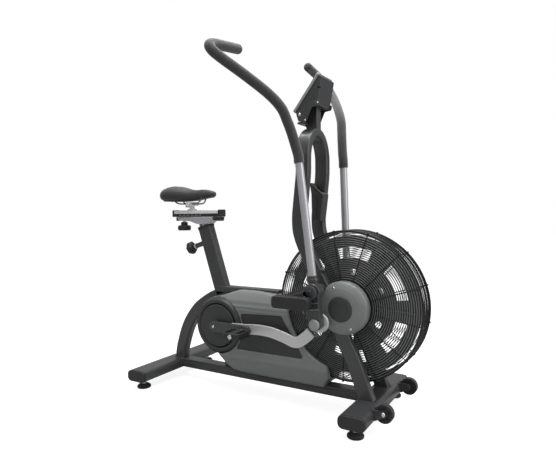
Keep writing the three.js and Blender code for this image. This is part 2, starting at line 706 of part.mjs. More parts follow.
// Seen from above the link is flat at the crank, then steps outward to the lever.
function leverLink() {
  const bar = prism(ribbon(smoothLine(LINK_LINE, 20), 44), 'y', 90, 170);
  const front = disc(LINK.eye, 90, 170, 'y', [0, 0], 32);
  const rear = disc(LINK.rearEye, 90, 170, 'y', LINK_LINE[0], 24);
  const { bendFrom, bendTo } = LINK;
  const [rearIn, rearOut] = LINK.rear;
  const [frontIn, frontOut] = LINK.front;
  const plan = [[-480, rearIn], [bendFrom, rearIn], [bendTo, frontIn], [60, frontIn],
    [60, frontOut], [bendTo, frontOut], [bendFrom, rearOut], [-480, rearOut]];
  const stepped = join(bar, front, rear).intersect(prism(plan, 'z', -200, 100));
  return cut(stepped, disc(LINK_PIN + GAP, 90, 170, 'y', [0, 0], 20));
}

for (const [sideName, side] of LEVER_SIDES) {
  place(`footrest_${sideName}`, footrest(side), 'black');

  const lever = new THREE.Group();
  lever.name = `lever_${sideName}`;
  lever.position.set(PIVOT.x, 0, PIVOT.z);
  lever.rotation.y = radians(LEAN[sideName]);
  drawing.add(lever);
  place(`lever_hub_${sideName}`, onSide(leverHub(), side), 'charcoal', lever);
  place(`lever_cap_${sideName}`, onSide(leverCap(), side), 'grey', lever);
  place(`lever_tube_${sideName}`, onSide(leverTube(), side), 'silver', lever);
  place(`lever_grip_${sideName}`, onSide(leverGrip(), side), 'foam', lever);

  const link = new THREE.Group();
  link.name = `link_group_${sideName}`;
  link.position.set(
    PIVOT.x - LOWER_ARM * Math.sin(radians(LEAN[sideName])), 0,
    PIVOT.z - LOWER_ARM * Math.cos(radians(LEAN[sideName])));
  drawing.add(link);
  place(`lever_link_${sideName}`, onSide(leverLink(), side), 'silver', link);
}

// ---------------------------------------------------------------- seat

const RAIL = { x0: -332, x1: -35, z0: 786, z1: 818, halfWidth: 20 };
const KNOB = { x: -273, radius: 32 };

function seatPost() {
  const post = rakedBar(TUBE.length - 2 * TUBE.wall - 2, TUBE.halfWidth - TUBE.wall - 1, -262, 22);
  const groove = changed(box(-40, -22, -6.5, 6.5, -270, -3), (g) => g.applyMatrix4(rakeMatrix()));
  const outline = [[-304, 785], [-44, 785], [-52, 768], [-92, 766], [-108, 754], [-178, 754],
    [-222, 766], [-292, 771]];
  const carriage = prism(outline, 'y', -22, 22, 2);
  const knobBore = disc(7, 700, 780, 'z', [KNOB.x, 0], 20);
  return cut(join(cut(post, groove), carriage), knobBore);
}

function sliderRail() {
  const section = roundedRect(-RAIL.halfWidth, RAIL.halfWidth, RAIL.z0, RAIL.z1, 5);
  return prism(section, 'x', RAIL.x0 + 10 + GAP, RAIL.x1 - 10 - GAP, 0, 3);
}

function railCap(x0, x1) {
  const half = RAIL.halfWidth + 2;
  return prism(roundedRect(-half, half, RAIL.z0, RAIL.z1 + 2, 6), 'x', x0, x1, 2, 3);
}

const SADDLE_X = -222;

// Clamp post, clamp head and the two bent wires that carry the saddle.
function saddleClamp() {
  const base = box(SADDLE_X - 18, SADDLE_X + 18, -16, 16, RAIL.z1 + GAP, RAIL.z1 + 6);
  const stem = disc(12.5, RAIL.z1 + 4, 850, 'z', [SADDLE_X, 0], 20);
  const head = disc(12, -30, 30, 'y', [SADDLE_X, 850], 20);
  const wires = [-22, 22].map((y) => sweep([
    [-320, y * 1.5, 880], [-308, y * 1.4, 866], [-290, y * 1.2, 853], [-262, y, 849], [-190, y, 849],
    [-168, y, 853], [-153, y * 0.8, 866], [-146, y * 0.6, 884],
  ], 3.6, 11, 3));
  return join(base, stem, head, ...wires);
}

// Saddle stations: x, half width, top height, underside height.
const SADDLE_STATIONS = [
  [-383, 26, 904, 882], [-378, 56, 917, 872], [-364, 78, 928, 866], [-338, 87, 935, 863],
  [-305, 84, 936, 863], [-270, 71, 929, 864], [-232, 52, 920, 865], [-195, 38, 916, 866],
  [-152, 30, 915, 872], [-115, 26, 914, 878], [-92, 22, 911, 881], [-80, 15, 906, 886],
];

function saddle() {
  const sides = 16;
  const positions = [];
  const index = [];
  SADDLE_STATIONS.forEach(([x, half, top, under]) => {
    for (let i = 0; i < sides; i += 1) {
      const angle = (i / sides) * Math.PI * 2;
      const y = half * Math.sign(Math.cos(angle)) * Math.abs(Math.cos(angle)) ** 0.8;
      const rise = Math.sin(angle);
      const share = rise > 0 ? 0.35 + 0.65 * rise ** 0.7 : 0.35 * (1 + rise);
      positions.push(x, y, under + (top - under) * share);
    }
  });
  const rows = SADDLE_STATIONS.length;
  for (let r = 0; r < rows - 1; r += 1) {
    for (let i = 0; i < sides; i += 1) {
      const [a, b] = [r * sides + i, r * sides + ((i + 1) % sides)];
      index.push(a, b, a + sides, b, b + sides, a + sides);
    }
  }
  for (const r of [0, rows - 1]) {
    const centre = positions.length / 3;
    const [x, , top, under] = SADDLE_STATIONS[r];
    positions.push(x, 0, (top + under) / 2);
    for (let i = 0; i < sides; i += 1) {
      const [a, b] = [r * sides + i, r * sides + ((i + 1) % sides)];
      index.push(...(r === 0 ? [centre, b, a] : [centre, a, b]));
    }
  }
  const geometry = new THREE.BufferGeometry();
  geometry.setAttribute('position', new THREE.Float32BufferAttribute(positions, 3));
  geometry.setIndex(index);
  return solidFrom(geometry);
}

function clampKnob() {
  const profile = [[0, 720], [28, 720], [KNOB.radius, 724], [KNOB.radius, 739], [28, 744], [16, 745],
    [16, 760], [6, 761], [6, 779], [0, 779]];
  return turned(profile, 'z', [KNOB.x, 0], 20);
}

// The height pin knob is drawn pointing up and laid onto the back of the seat tube.
function pinKnob() {
  const back = TUBE.length / 2;
  const bush = back + 14 + GAP;
  const profile = [[0, back - 11], [5, back - 11], [5, bush], [12, bush], [12, back + 46], [8, back + 48],
    [8, back + 68], [24, back + 70], [32, back + 77], [32, back + 91], [25, back + 98], [0, back + 99]];
  return changed(turned(profile, 'y', [0, 0], 18), (g) => {
    g.rotateZ(Math.PI / 2);
    g.translate(0, 0, -74);
    g.applyMatrix4(rakeMatrix());
  });
}

place('seat_post', seatPost(), 'silver');
place('slider_rail', sliderRail(), 'silver');
place('rail_cap_rear', railCap(RAIL.x0, RAIL.x0 + 10), 'black');
place('rail_cap_front', railCap(RAIL.x1 - 10, RAIL.x1), 'black');
place('saddle_clamp', saddleClamp(), 'silver');
place('saddle', cut(saddle(), saddleClamp()), 'saddle');
place('slide_knob', clampKnob(), 'black');
place('height_knob', pinKnob(), 'black');

// ---------------------------------------------------------------- console and holder

const PANEL_LOW = [389, 1212];
const PANEL_HIGH = [497, 1350];

function consoleHousing() {
  const postTop = 1232 + GAP;
  const outline = [PANEL_LOW, PANEL_HIGH, [508, 1343], [488, 1240], [488, postTop], [426, postTop],
    [414, 1172], [401, 1180]];
  return prism(outline, 'y', -CONSOLE_HALF + 3, CONSOLE_HALF - 3, 2);
}

// Panel pieces are drawn flat and laid onto the sloping face turned to the rider.
function onPanel(solid) {
  const [dx, dz] = [PANEL_HIGH[0] - PANEL_LOW[0], PANEL_HIGH[1] - PANEL_LOW[1]];
  return changed(solid, (g) => {
    g.rotateY(-Math.atan2(dz, dx));
    g.translate(PANEL_LOW[0], 0, PANEL_LOW[1]);
  });
}

const PANEL_LENGTH = Math.hypot(PANEL_HIGH[0] - PANEL_LOW[0], PANEL_HIGH[1] - PANEL_LOW[1]);
const BUTTONS = [[26, -32], [26, 0], [26, 32]];

function consolePanel() {
  const plate = prism(
    roundedRect(-4, PANEL_LENGTH + 4, -CONSOLE_HALF, CONSOLE_HALF, 8), 'z', GAP, 12, 2, 3);
  const screenRoom = prism(roundedRect(50, PANEL_LENGTH - 12, -52, 52, 4), 'z', 8, 20, 0, 2);
  const buttonRooms = BUTTONS.map((at) => disc(8 + GAP, 6, 20, 'z', at, 16));
  return onPanel(cut(plate, screenRoom, ...buttonRooms));
}

const consoleScreen = () => onPanel(prism(
  roundedRect(50 + GAP, PANEL_LENGTH - 12 - GAP, -52 + GAP, 52 - GAP, 4), 'z', 8 + GAP, 11.4, 0, 2));

const consoleButton = (at) => onPanel(turned([[0, 8], [8, 8], [8, 13], [6.5, 14], [0, 14]], 'z', at, 16));

place('console_housing', consoleHousing(), 'charcoal');
place('console_panel', consolePanel(), 'grey');
place('console_screen', consoleScreen(), 'screen');
BUTTONS.forEach((at, i) => place(`console_button_${i + 1}`, consoleButton(at), 'button'));

// Open-topped bottle holder fixed to the inside of the left mast member.
function bottleHolder() {
  const outline = [[422, 767], [461, 764], [476, 877], [411, 931], [419, 880]];
  const holder = prism(outline, 'y', 14, MAST.inner - GAP, 3);
  const room = prism([[429, 772], [455, 770], [471, 960], [415, 960], [426, 880]], 'y', 18, MAST.inner - 5);
  return cut(holder, room);
}

place('bottle_holder', bottleHolder(), 'black');

export default bike;
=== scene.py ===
"""Air bike: fine surfaces, materials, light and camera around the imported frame.

Shapes are drawn in millimetres, with x = 0 on the crank axis and z = 0 on the floor, and are then
placed in the frame, in metres. +X points forward to the fan, +Y is the rider's left, +Z is up.
Side pieces are drawn on the rider's left and mirrored for the right.
"""
import json
import math

import bmesh
import bpy
from mathutils import Matrix, Vector


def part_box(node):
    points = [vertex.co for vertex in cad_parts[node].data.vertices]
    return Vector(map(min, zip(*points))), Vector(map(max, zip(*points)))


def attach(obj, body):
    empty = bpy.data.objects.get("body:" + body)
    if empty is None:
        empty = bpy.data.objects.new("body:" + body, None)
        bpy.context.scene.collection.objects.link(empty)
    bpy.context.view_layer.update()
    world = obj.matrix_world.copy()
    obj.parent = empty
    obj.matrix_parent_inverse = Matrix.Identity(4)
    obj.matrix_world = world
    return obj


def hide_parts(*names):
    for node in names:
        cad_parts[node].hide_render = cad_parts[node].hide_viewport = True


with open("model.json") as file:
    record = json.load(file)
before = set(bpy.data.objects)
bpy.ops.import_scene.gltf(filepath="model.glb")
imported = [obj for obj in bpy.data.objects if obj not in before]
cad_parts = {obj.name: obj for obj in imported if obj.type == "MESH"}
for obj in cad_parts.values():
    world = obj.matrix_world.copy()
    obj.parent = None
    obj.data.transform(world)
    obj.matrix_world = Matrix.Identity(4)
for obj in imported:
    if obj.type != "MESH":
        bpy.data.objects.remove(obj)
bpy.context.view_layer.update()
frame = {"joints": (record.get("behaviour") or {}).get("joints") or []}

# ---------------------------------------------------------------- places read from the frame

MM = 0.001
JOINTS = {joint["name"]: joint for joint in frame["joints"]}
SIDES = (("right", -1), ("left", 1))
CRANK_AXIS = Vector(JOINTS["crank_turn"]["pos_m"])
ROW = Matrix.Translation((CRANK_AXIS.x, 0, 0)) @ Matrix.Scale(MM, 4)
DRAWING = ROW.inverted()


def joint_at(name):
    return DRAWING @ Vector(JOINTS[name]["pos_m"])


def span(node, axis):
    """Low and high of a node along one axis, in drawing millimetres."""
    return tuple((DRAWING @ corner)["xyz".index(axis)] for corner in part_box(node))


CRANK_Z = joint_at("crank_turn").z
FAN_X, _, FAN_Z = joint_at("fan_spin")
PIVOT_X, _, PIVOT_Z = joint_at("right_lever_swing")
CRANK, FAN, PIVOT = (0, CRANK_Z), (FAN_X, FAN_Z), (PIVOT_X, PIVOT_Z)
LEVER_Y = 163.0
LOWER_ARM = 122.0

# ---------------------------------------------------------------- outlines and curves


def fillet(points, radius, steps=5, closed=True):
    """Rounds the corners of a flat outline. radius is one number, or one for each corner."""
    count = len(points)
    radii = radius if isinstance(radius, (list, tuple)) else [radius] * count
    result = []
    for i, point in enumerate(points):
        here = Vector(point)
        if radii[i] == 0 or (not closed and i in (0, count - 1)):
            result.append(tuple(here))
            continue
        back = Vector(points[i - 1]) - here
        ahead = Vector(points[(i + 1) % count]) - here
        angle = back.angle(ahead)
        if angle > math.pi - 0.02:
            result.append(tuple(here))
            continue
        reach = min(radii[i] / math.tan(angle / 2), back.length * 0.48, ahead.length * 0.48)
        start = here + back.normalized() * reach
        end = here + ahead.normalized() * reach
        for k in range(steps + 1):
            t = k / steps
            result.append(tuple(start * (1 - t) ** 2 + here * (2 * t * (1 - t)) + end * t * t))
    return result


def rounded_rect(x0, x1, y0, y1, radius, steps=6):
    return fillet([(x0, y0), (x1, y0), (x1, y1), (x0, y1)], radius, steps)


def arc(centre, radius, start, end, steps):
    """Points on an arc, with angles in degrees."""
    angles = [math.radians(start + (end - start) * k / steps) for k in range(steps + 1)]
    return [(centre[0] + radius * math.cos(a), centre[1] + radius * math.sin(a)) for a in angles]


def circle(radius, sides):
    return arc((0, 0), radius, 0, 360 * (sides - 1) / sides, sides - 1)


def spline(points, per_span=6):
    """A smooth line through points of two or three coordinates."""
    line = [Vector(p) for p in points]
    padded = [2 * line[0] - line[1]] + line + [2 * line[-1] - line[-2]]
    result = []
    for p0, p1, p2, p3 in zip(padded, padded[1:], padded[2:], padded[3:]):
        for k in range(per_span):
            t = k / per_span
            result.append(0.5 * (
                2 * p1 + (p2 - p0) * t
                + (2 * p0 - 5 * p1 + 4 * p2 - p3) * t ** 2
                + (3 * p1 - p0 - 3 * p2 + p3) * t ** 3))
    return result + [line[-1]]


def ribbon(line, width):
    """Outline of a flat bar of constant width along a centre line."""
    left, right = [], []
    for i, point in enumerate(line):
        here = Vector(point)
        along = Vector(line[min(i + 1, len(line) - 1)]) - Vector(line[max(i - 1, 0)])
        across = Vector((-along.y, along.x)).normalized() * width / 2
        left.append(tuple(here + across))
        right.append(tuple(here - across))
    return right + left[::-1]


def signed_area(outline):
    pairs = zip(outline, outline[1:] + outline[:1])
    return sum(a[0] * b[1] - b[0] * a[1] for a, b in pairs) / 2


def inset(outline, distance):
    """The outline moved inward, corner by corner. Outlines run anticlockwise."""
    result = []
    count = len(outline)
    for i, point in enumerate(outline):
        before = Vector(point) - Vector(outline[i - 1])
        after = Vector(outline[(i + 1) % count]) - Vector(point)
        n1 = Vector((-before.y, before.x)).normalized()
        n2 = Vector((-after.y, after.x)).normalized()
        middle = (n1 + n2).normalized()
        stretch = max(middle.dot(n1), 0.5)
        result.append(tuple(Vector(point) + middle * distance / stretch))
    return result


# ---------------------------------------------------------------- bodies

# Each function here returns one closed body: its rings of points, and whether the last joins the first.

TO_SPACE = {
    "x": lambda a, b, h: (h, a, b),
    "y": lambda a, b, h: (a, h, b),
    "z": lambda a, b, h: (a, b, h),
}


def slab(outline, axis, low, high, rim=1.0, rim_steps=3):
    """An outline pushed along an axis, with both rims rounded."""
    if signed_area(outline) < 0:
        outline = outline[::-1]
    put = TO_SPACE[axis]
    levels = []
    for k in range(rim_steps + 1):
        a = k / rim_steps * math.pi / 2
        levels.append((rim * (1 - math.cos(a)), rim * (1 - math.sin(a))))
    heights = [(low + depth, shrink) for depth, shrink in levels]
    heights += [(high - depth, shrink) for depth, shrink in reversed(levels)]
    return [[put(a, b, h) for a, b in inset(outline, s)] for h, s in heights], False


def box_slab(x0, x1, y0, y1, radius, axis, low, high, rim=1.0, rim_steps=3):
    """A slab whose outline is a rounded rectangle."""
    return slab(rounded_rect(x0, x1, y0, y1, radius), axis, low, high, rim, rim_steps)


def lathe(profile, axis, centre, sides=64, loop=False, lobes=(0, 0, math.inf)):
    """A profile of (radius, height) points turned about an axis. loop closes it into a ring.

    lobes is a count and a depth of grooves, pressed into the profile beyond a radius.
    """
    put = TO_SPACE[axis]
    count, depth, beyond = lobes
    around = circle(1, sides)
    rings = []
    for r, h in profile:
        if r <= 0:
            continue
        sizes = [r] * sides
        if r > beyond:
            sizes = [r * (1 - depth * (0.5 + 0.5 * math.cos(count * math.atan2(s, c)))) for c, s in around]
        rings.append([put(centre[0] + size * c, centre[1] + size * s, h)
                      for size, (c, s) in zip(sizes, around)])
    return rings, loop


def disc(radius, low, high, axis, centre, sides=48, rim=0.8, rim_steps=3):
    profile = [(0, low), (radius, low), (radius, high), (0, high)]
    return lathe(fillet(profile, rim, rim_steps, closed=False), axis, centre, sides)


def frames_along(path, across, loop):
    """Section directions at each point of a path. across fixes the first direction if given."""
    count = len(path)
    carried = None
    for i, here in enumerate(path):
        after = path[(i + 1) % count] if loop else path[min(i + 1, count - 1)]
        before = path[i - 1] if loop else path[max(i - 1, 0)]
        along = (after - before).normalized()
        guide = Vector(across) if across else carried
        if guide is None:
            guide = Vector((0, 1, 0)) if abs(along.y) < 0.9 else Vector((1, 0, 0))
        u = (guide - along * guide.dot(along)).normalized()
        carried = u
        yield here, u, along.cross(u), along


def sweep(path, section, across=None, loop=False, domes=(0, 0), dome_steps=6):
    """Carries a flat section along a path. domes rounds the start and the end off by a radius."""
    path = [Vector(p) for p in path]
    stations = list(frames_along(path, across, loop))

    def ring(station, scale=1.0, shift=0.0):
        here, u, v, along = station
        return [here + along * shift + (u * a + v * b) * scale for a, b in section]

    rings = [ring(station) for station in stations]
    turns = [k / dome_steps * math.pi / 2 for k in range(1, dome_steps)]
    start, end = domes
    if start > 0:
        rings = [ring(stations[0], math.cos(a), -start * math.sin(a)) for a in turns[::-1]] + rings
    if end > 0:
        rings += [ring(stations[-1], math.cos(a), end * math.sin(a)) for a in turns]
    return rings, loop


def bolt(at, axis, radius, height, facing=1):
    """A button head with a socket, standing on the point at and facing along the axis."""
    order = {"x": (1, 2, 0), "y": (0, 2, 1), "z": (0, 1, 2)}[axis]
    a, b, base = (at[i] for i in order)
    shape = [(0, 0), (radius, 0), (radius, 0.35), (0.86 * radius, 0.8), (0.62 * radius, 1.0),
             (0.42 * radius, 1.0), (0.42 * radius, 0.35), (0, 0.35)]
    return lathe([(r, base + facing * h * height) for r, h in shape], axis, (a, b), 24)


def weld(outline, axis, height, radius=2.6, ripple=5.0):
    """A rippled weld bead laid along a closed outline."""
    put = TO_SPACE[axis]
    path = [Vector(put(a, b, height)) for a, b in outline]
    dense = []
    for a, b in zip(path, path[1:] + path[:1]):
        steps = max(1, int((b - a).length / 2.5))
        dense += [a.lerp(b, k / steps) for k in range(steps)]
    rings = []
    travelled = 0.0
    for i, (here, u, v, _) in enumerate(frames_along(dense, None, True)):
        travelled += (dense[i] - dense[i - 1]).length
        size = radius * (1 + 0.12 * math.sin(travelled * 2 * math.pi / ripple))
        rings.append([here + (u * a + v * b) * size for a, b in circle(1, 8)])
    return rings, True


# ---------------------------------------------------------------- materials


class Finish:
    """A node material. Texture sizes are in metres, because pieces are drawn in the frame."""

    def __init__(self, name):
        self.material = bpy.data.materials.new(name)
        self.material.use_nodes = True
        self.nodes = self.material.node_tree.nodes
        self.links = self.material.node_tree.links
        self.surface = self.nodes["Principled BSDF"]
        self.place = self.add("ShaderNodeTexCoord").outputs["Object"]

    def add(self, kind, settings=None, **inputs):
        node = self.nodes.new(kind)
        for key, value in (settings or {}).items():
            setattr(node, key, value)
        for key, value in inputs.items():
            self.feed(node.inputs[key.replace("_", " ")], value)
        return node

    def feed(self, socket, value):
        if isinstance(value, bpy.types.NodeSocket):
            self.links.new(value, socket)
        else:
            socket.default_value = value

    def noise(self, scale, detail=3.0, stretch=None):
        place = self.place
        if stretch:
            place = self.add("ShaderNodeMapping", Vector=place, Scale=stretch).outputs["Vector"]
        return self.add("ShaderNodeTexNoise", Vector=place, Scale=scale, Detail=detail).outputs["Fac"]

    def remap(self, value, low, high, source=(0.3, 0.7)):
        node = self.add("ShaderNodeMapRange", Value=value)
        for key, number in zip(("From Min", "From Max", "To Min", "To Max"), (*source, low, high)):
            node.inputs[key].default_value = number
        return node.outputs["Result"]

    def blend(self, factor, first, second):
        node = self.add("ShaderNodeMix", {"data_type": "RGBA"})
        self.feed(node.inputs[0], factor)
        self.feed(node.inputs[6], first)
        self.feed(node.inputs[7], second)
        return node.outputs[2]

    def combine(self, operation, first, second):
        node = self.add("ShaderNodeMath", {"operation": operation})
        self.feed(node.inputs[0], first)
        self.feed(node.inputs[1], second)
        return node.outputs[0]

    def edges(self, radius):
        """1 on sharp edges and 0 on open faces."""
        soft = self.add("ShaderNodeBevel", {"samples": 4}, Radius=radius).outputs["Normal"]
        flat = self.add("ShaderNodeNewGeometry").outputs["Normal"]
        facing = self.add("ShaderNodeVectorMath", {"operation": "DOT_PRODUCT"})
        self.feed(facing.inputs[0], soft)
        self.feed(facing.inputs[1], flat)
        return self.remap(facing.outputs["Value"], 1.0, 0.0, source=(0.80, 0.99))


def shade(colour, factor):
    return tuple(min(1.0, c * factor) for c in colour) + (1.0,)


def make_finish(name, colour, rough, metal=0.0, grain=1200.0, depth=0.00006, mottle=0.10,
                stretch=None, wear=0.35, coat=0.0, sheen=0.0, cells=None):
    """Base colour with broad and fine variation, lighter rubbed edges, and a grain in the relief."""
    f = Finish(name)
    broad = f.noise(14.0, 4.0)
    fine = f.noise(grain, 3.0, stretch)
    body = f.blend(f.remap(broad, 0.0, 1.0), shade(colour, 1 - mottle), shade(colour, 1 + mottle))
    speck = f.blend(f.remap(fine, 0.0, 0.35), body, shade(colour, 1.5))
    rubbed = f.blend(f.remap(f.noise(160.0, 5.0), 0.3, 1.0), shade(colour, 1.0), shade(colour, 2.0))
    edge = f.combine("MULTIPLY", f.edges(0.0016), wear)
    f.feed(f.surface.inputs["Base Color"], f.blend(edge, speck, rubbed))
    uneven = f.combine("ADD", f.remap(broad, rough - 0.05, rough + 0.05), f.remap(fine, -0.03, 0.03))
    f.feed(f.surface.inputs["Roughness"], uneven)
    f.surface.inputs["Metallic"].default_value = metal
    f.surface.inputs["Coat Weight"].default_value = coat
    f.surface.inputs["Sheen Weight"].default_value = sheen
    height = fine
    if cells:
        grainy = f.add("ShaderNodeTexVoronoi", {"feature": "SMOOTH_F1"}, Vector=f.place, Scale=cells)
        height = f.combine("ADD", grainy.outputs["Distance"], f.remap(fine, 0.0, 0.3))
    relief = f.add("ShaderNodeBump", Height=height, Distance=depth, Strength=0.8)
    f.feed(f.surface.inputs["Normal"], relief.outputs["Normal"])
    return f.material


CHARCOAL = (0.042, 0.043, 0.045)
BLACK = (0.018, 0.018, 0.020)
GREY = (0.178, 0.192, 0.188)
SILVER = (0.46, 0.46, 0.48)

POWDER = make_finish("powder_coat", CHARCOAL, 0.38, grain=900.0, depth=0.00010, coat=0.30)
MOULDED = make_finish("black_moulded", BLACK, 0.50, cells=1500.0, depth=0.00008)
TRIM = make_finish("dark_moulded", (0.036, 0.037, 0.039), 0.48, cells=1400.0, depth=0.00007)
COVER = make_finish("grey_cover", GREY, 0.38, cells=1100.0, depth=0.00006, mottle=0.05, coat=0.15)
INSERT = make_finish("panel_insert", (0.034, 0.035, 0.036), 0.56, cells=900.0, depth=0.00012)
WIRE = make_finish("coated_wire", (0.15, 0.155, 0.155), 0.28, grain=700.0, coat=0.5, wear=0.1)
DARK_WIRE = make_finish("dark_wire", (0.005, 0.005, 0.006), 0.42, grain=700.0, wear=0.1)
FAN_PAINT = make_finish("fan_paint", (0.034, 0.035, 0.036), 0.42, grain=800.0, depth=0.00009)
RUBBER = make_finish("black_rubber", (0.020, 0.020, 0.021), 0.78, grain=1500.0, sheen=0.1, wear=0.5)
FOAM = make_finish("grip_foam", (0.040, 0.040, 0.042), 0.92, grain=2200.0, depth=0.00030,
                   sheen=0.35, cells=1700.0, wear=0.15)
SILVER_PAINT = make_finish("silver_paint", SILVER, 0.36, metal=0.35, grain=2600.0, depth=0.00002,
                           mottle=0.04, wear=0.1, coat=0.25)
SATIN_STEEL = make_finish("satin_steel", (0.58, 0.58, 0.59), 0.40, metal=0.3, grain=1600.0,
                          depth=0.00003, mottle=0.04, wear=0.1, coat=0.2)
PLATED = make_finish("plated_steel", (0.66, 0.66, 0.68), 0.18, metal=1.0, grain=500.0,
                     depth=0.00001, mottle=0.04, wear=0.1)
BRUSHED = make_finish("brushed_aluminium", (0.86, 0.86, 0.87), 0.34, metal=0.25, grain=60.0,
                      depth=0.00003, mottle=0.05, stretch=(0.4, 40.0, 40.0), wear=0.1)
VINYL = make_finish("saddle_vinyl", (0.024, 0.024, 0.026), 0.60, grain=260.0, depth=0.00035,
                    sheen=0.25, cells=700.0, wear=0.0)
BUTTON = make_finish("soft_key", (0.34, 0.35, 0.36), 0.62, cells=1800.0, depth=0.00005)
BEZEL = make_finish("light_bezel", (0.27, 0.28, 0.28), 0.42, cells=1300.0, depth=0.00005)
MARKS = make_finish("printed_marks", (0.62, 0.63, 0.64), 0.55, grain=900.0, wear=0.0)
LENS = make_finish("display_lens", (0.020, 0.026, 0.024), 0.10, grain=120.0, depth=0.0, coat=0.8,
                   wear=0.0)
SEGMENTS = make_finish("display_segments", (0.006, 0.008, 0.008), 0.35, grain=500.0, depth=0.0)
LCD = make_finish("display_film", (0.22, 0.25, 0.20), 0.30, grain=300.0, depth=0.0, mottle=0.03,
                  wear=0.0)

# ---------------------------------------------------------------- pieces

SHARP = math.radians(38)
MAIN = "main_frame"


def skin(bm, rings, loop=False):
    """Joins equal rings of points into one closed body."""
    rows = [[bm.verts.new(p) for p in ring] for ring in rings]
    following = rows[1:] + (rows[:1] if loop else [])
    for a, b in zip(rows, following):
        for i in range(len(a)):
            j = (i + 1) % len(a)
            bm.faces.new((a[i], a[j], b[j], b[i]))
    if not loop:
        bm.faces.new(rows[0])
        bm.faces.new(rows[-1])


def drawn(name, drawing, side, matrix):
    """An object in the frame from a list of bodies, or from a finished bmesh."""
    bm = drawing
    if isinstance(drawing, list):
        bm = bmesh.new()
        for rings, loop in drawing:
            skin(bm, rings, loop)
    if side < 0:
        bmesh.ops.scale(bm, vec=(1, -1, 1), verts=bm.verts)
    bmesh.ops.recalc_face_normals(bm, faces=bm.faces)
    bmesh.ops.transform(bm, matrix=ROW @ (matrix or Matrix.Identity(4)), verts=bm.verts)
    mesh = bpy.data.meshes.new(name)
    bm.to_mesh(mesh)
    bm.free()
    obj = bpy.data.objects.new(name, mesh)
    bpy.context.scene.collection.objects.link(obj)
    return obj


def smooth(obj):
    obj.data.shade_smooth()
    obj.data.set_sharp_from_angle(angle=SHARP)
    obj.modifiers.new("even_shading", "WEIGHTED_NORMAL").keep_sharp = True


def piece(name, finish, drawing, node=None, body="frame", slot=None, side=1, matrix=None):
    """Turns a drawing into an object that rides on a body and may stand for a CAD node."""
    obj = drawn(name, drawing, side, matrix)
    obj.data.materials.append(finish)
    smooth(obj)
    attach(obj, body)
    if node:
        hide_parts(node)
    return obj


def drill(obj, cutters, side=1, matrix=None):
    """Cuts bodies out of a piece, and keeps the result as its mesh."""
    cutter = drawn("cutter", cutters, side, matrix)
    obj.modifiers.clear()
    cut = obj.modifiers.new("cut", "BOOLEAN")
    cut.object = cutter
    cut.solver = "EXACT"
    graph = bpy.context.evaluated_depsgraph_get()
    result = bpy.data.meshes.new_from_object(obj.evaluated_get(graph))
    obj.modifiers.clear()
    obj.data = result
    smooth(obj)
    bpy.data.meshes.remove(cutter.data)


# ---------------------------------------------------------------- welded frame

MAST_INNER, MAST_OUTER, MAST_WIDTH = 70.0, 106.0, 58.0
MAST_LINE = [
    (706, 80), (678, 155), (647, 236), (617, 292), (599, 341), (566, 415), (531, 488), (505, 540),
    (484, 580), (463, 625), (440, 670), (422, 722), (418, 772), (421, 815), (430, 893), (437, 960),
    (438, 1018),
]
ARCH_TOP = 1150.0
REAR_LEG_LINE = [(-301, 80), (-289, 150), (-250, 255), (-192, 335), (-135, 380), (-70, 414), (0, 430)]
TUBE_TOP = (-138, 0, 742)
TUBE_LENGTH, TUBE_HALF, TUBE_WALL = 70.0, 22.0, 6.0
TUBE_BACK = -TUBE_LENGTH / 2
POST_AXIS = Vector(JOINTS["seat_height"]["axis"])
RAKE = Matrix.Translation(TUBE_TOP) @ Matrix.Rotation(math.atan2(POST_AXIS.x, POST_AXIS.z), 4, "Y")
PIN_DOWN = 74.0
PIN = (0, -PIN_DOWN)


def mirrored(half):
    """Half of an outline, closed by its mirror image."""
    return half + [(-a, b) for a, b in reversed(half)]


def level_ring(half_x, half_y, radius, height):
    return [(a, b, height) for a, b in rounded_rect(-half_x, half_x, -half_y, half_y, radius)]


def bar_section(cap):
    """Section of a floor bar and its caps, as wide and as tall as a cap."""
    x0, x1 = span(cap, "x")
    z0, z1 = span(cap, "z")
    return rounded_rect(x0, x1, z0, z1, (z1 - z0) / 2 - 2, 8)


def floor_bars():
    for end in ("rear", "front"):
        half = span(f"{end}_cap_left", "y")[0] - 0.3
        bar = slab(bar_section(f"{end}_cap_right"), "y", -half, half, 0.6)
        piece(f"{end}_floor_bar", POWDER, [bar], MAIN)


def main_beam():
    """Rounded bar with a shallow groove along both shoulders."""
    half, z0, z1, groove = 28, 48, 90, 1.6
    side = [(half, z0), (half, z1 - 15), (half - groove, z1 - 13), (half - groove, z1 - 11),
            (half, z1 - 9), (half, z1)]
    radii = [9, 0.8, 0.8, 0.8, 0.8, 8]
    section = fillet(mirrored(side), radii + radii[::-1], 4)
    piece("main_beam", POWDER, [slab(section, "x", -310, 690, 0.6)], MAIN)


def rear_leg():
    path = [(x, 0, z) for x, z in spline(REAR_LEG_LINE, 7)]
    leg = sweep(path, rounded_rect(-22, 22, -29, 29, 11, 6), across=(0, 1, 0))
    piece("rear_leg", POWDER, [leg], MAIN)


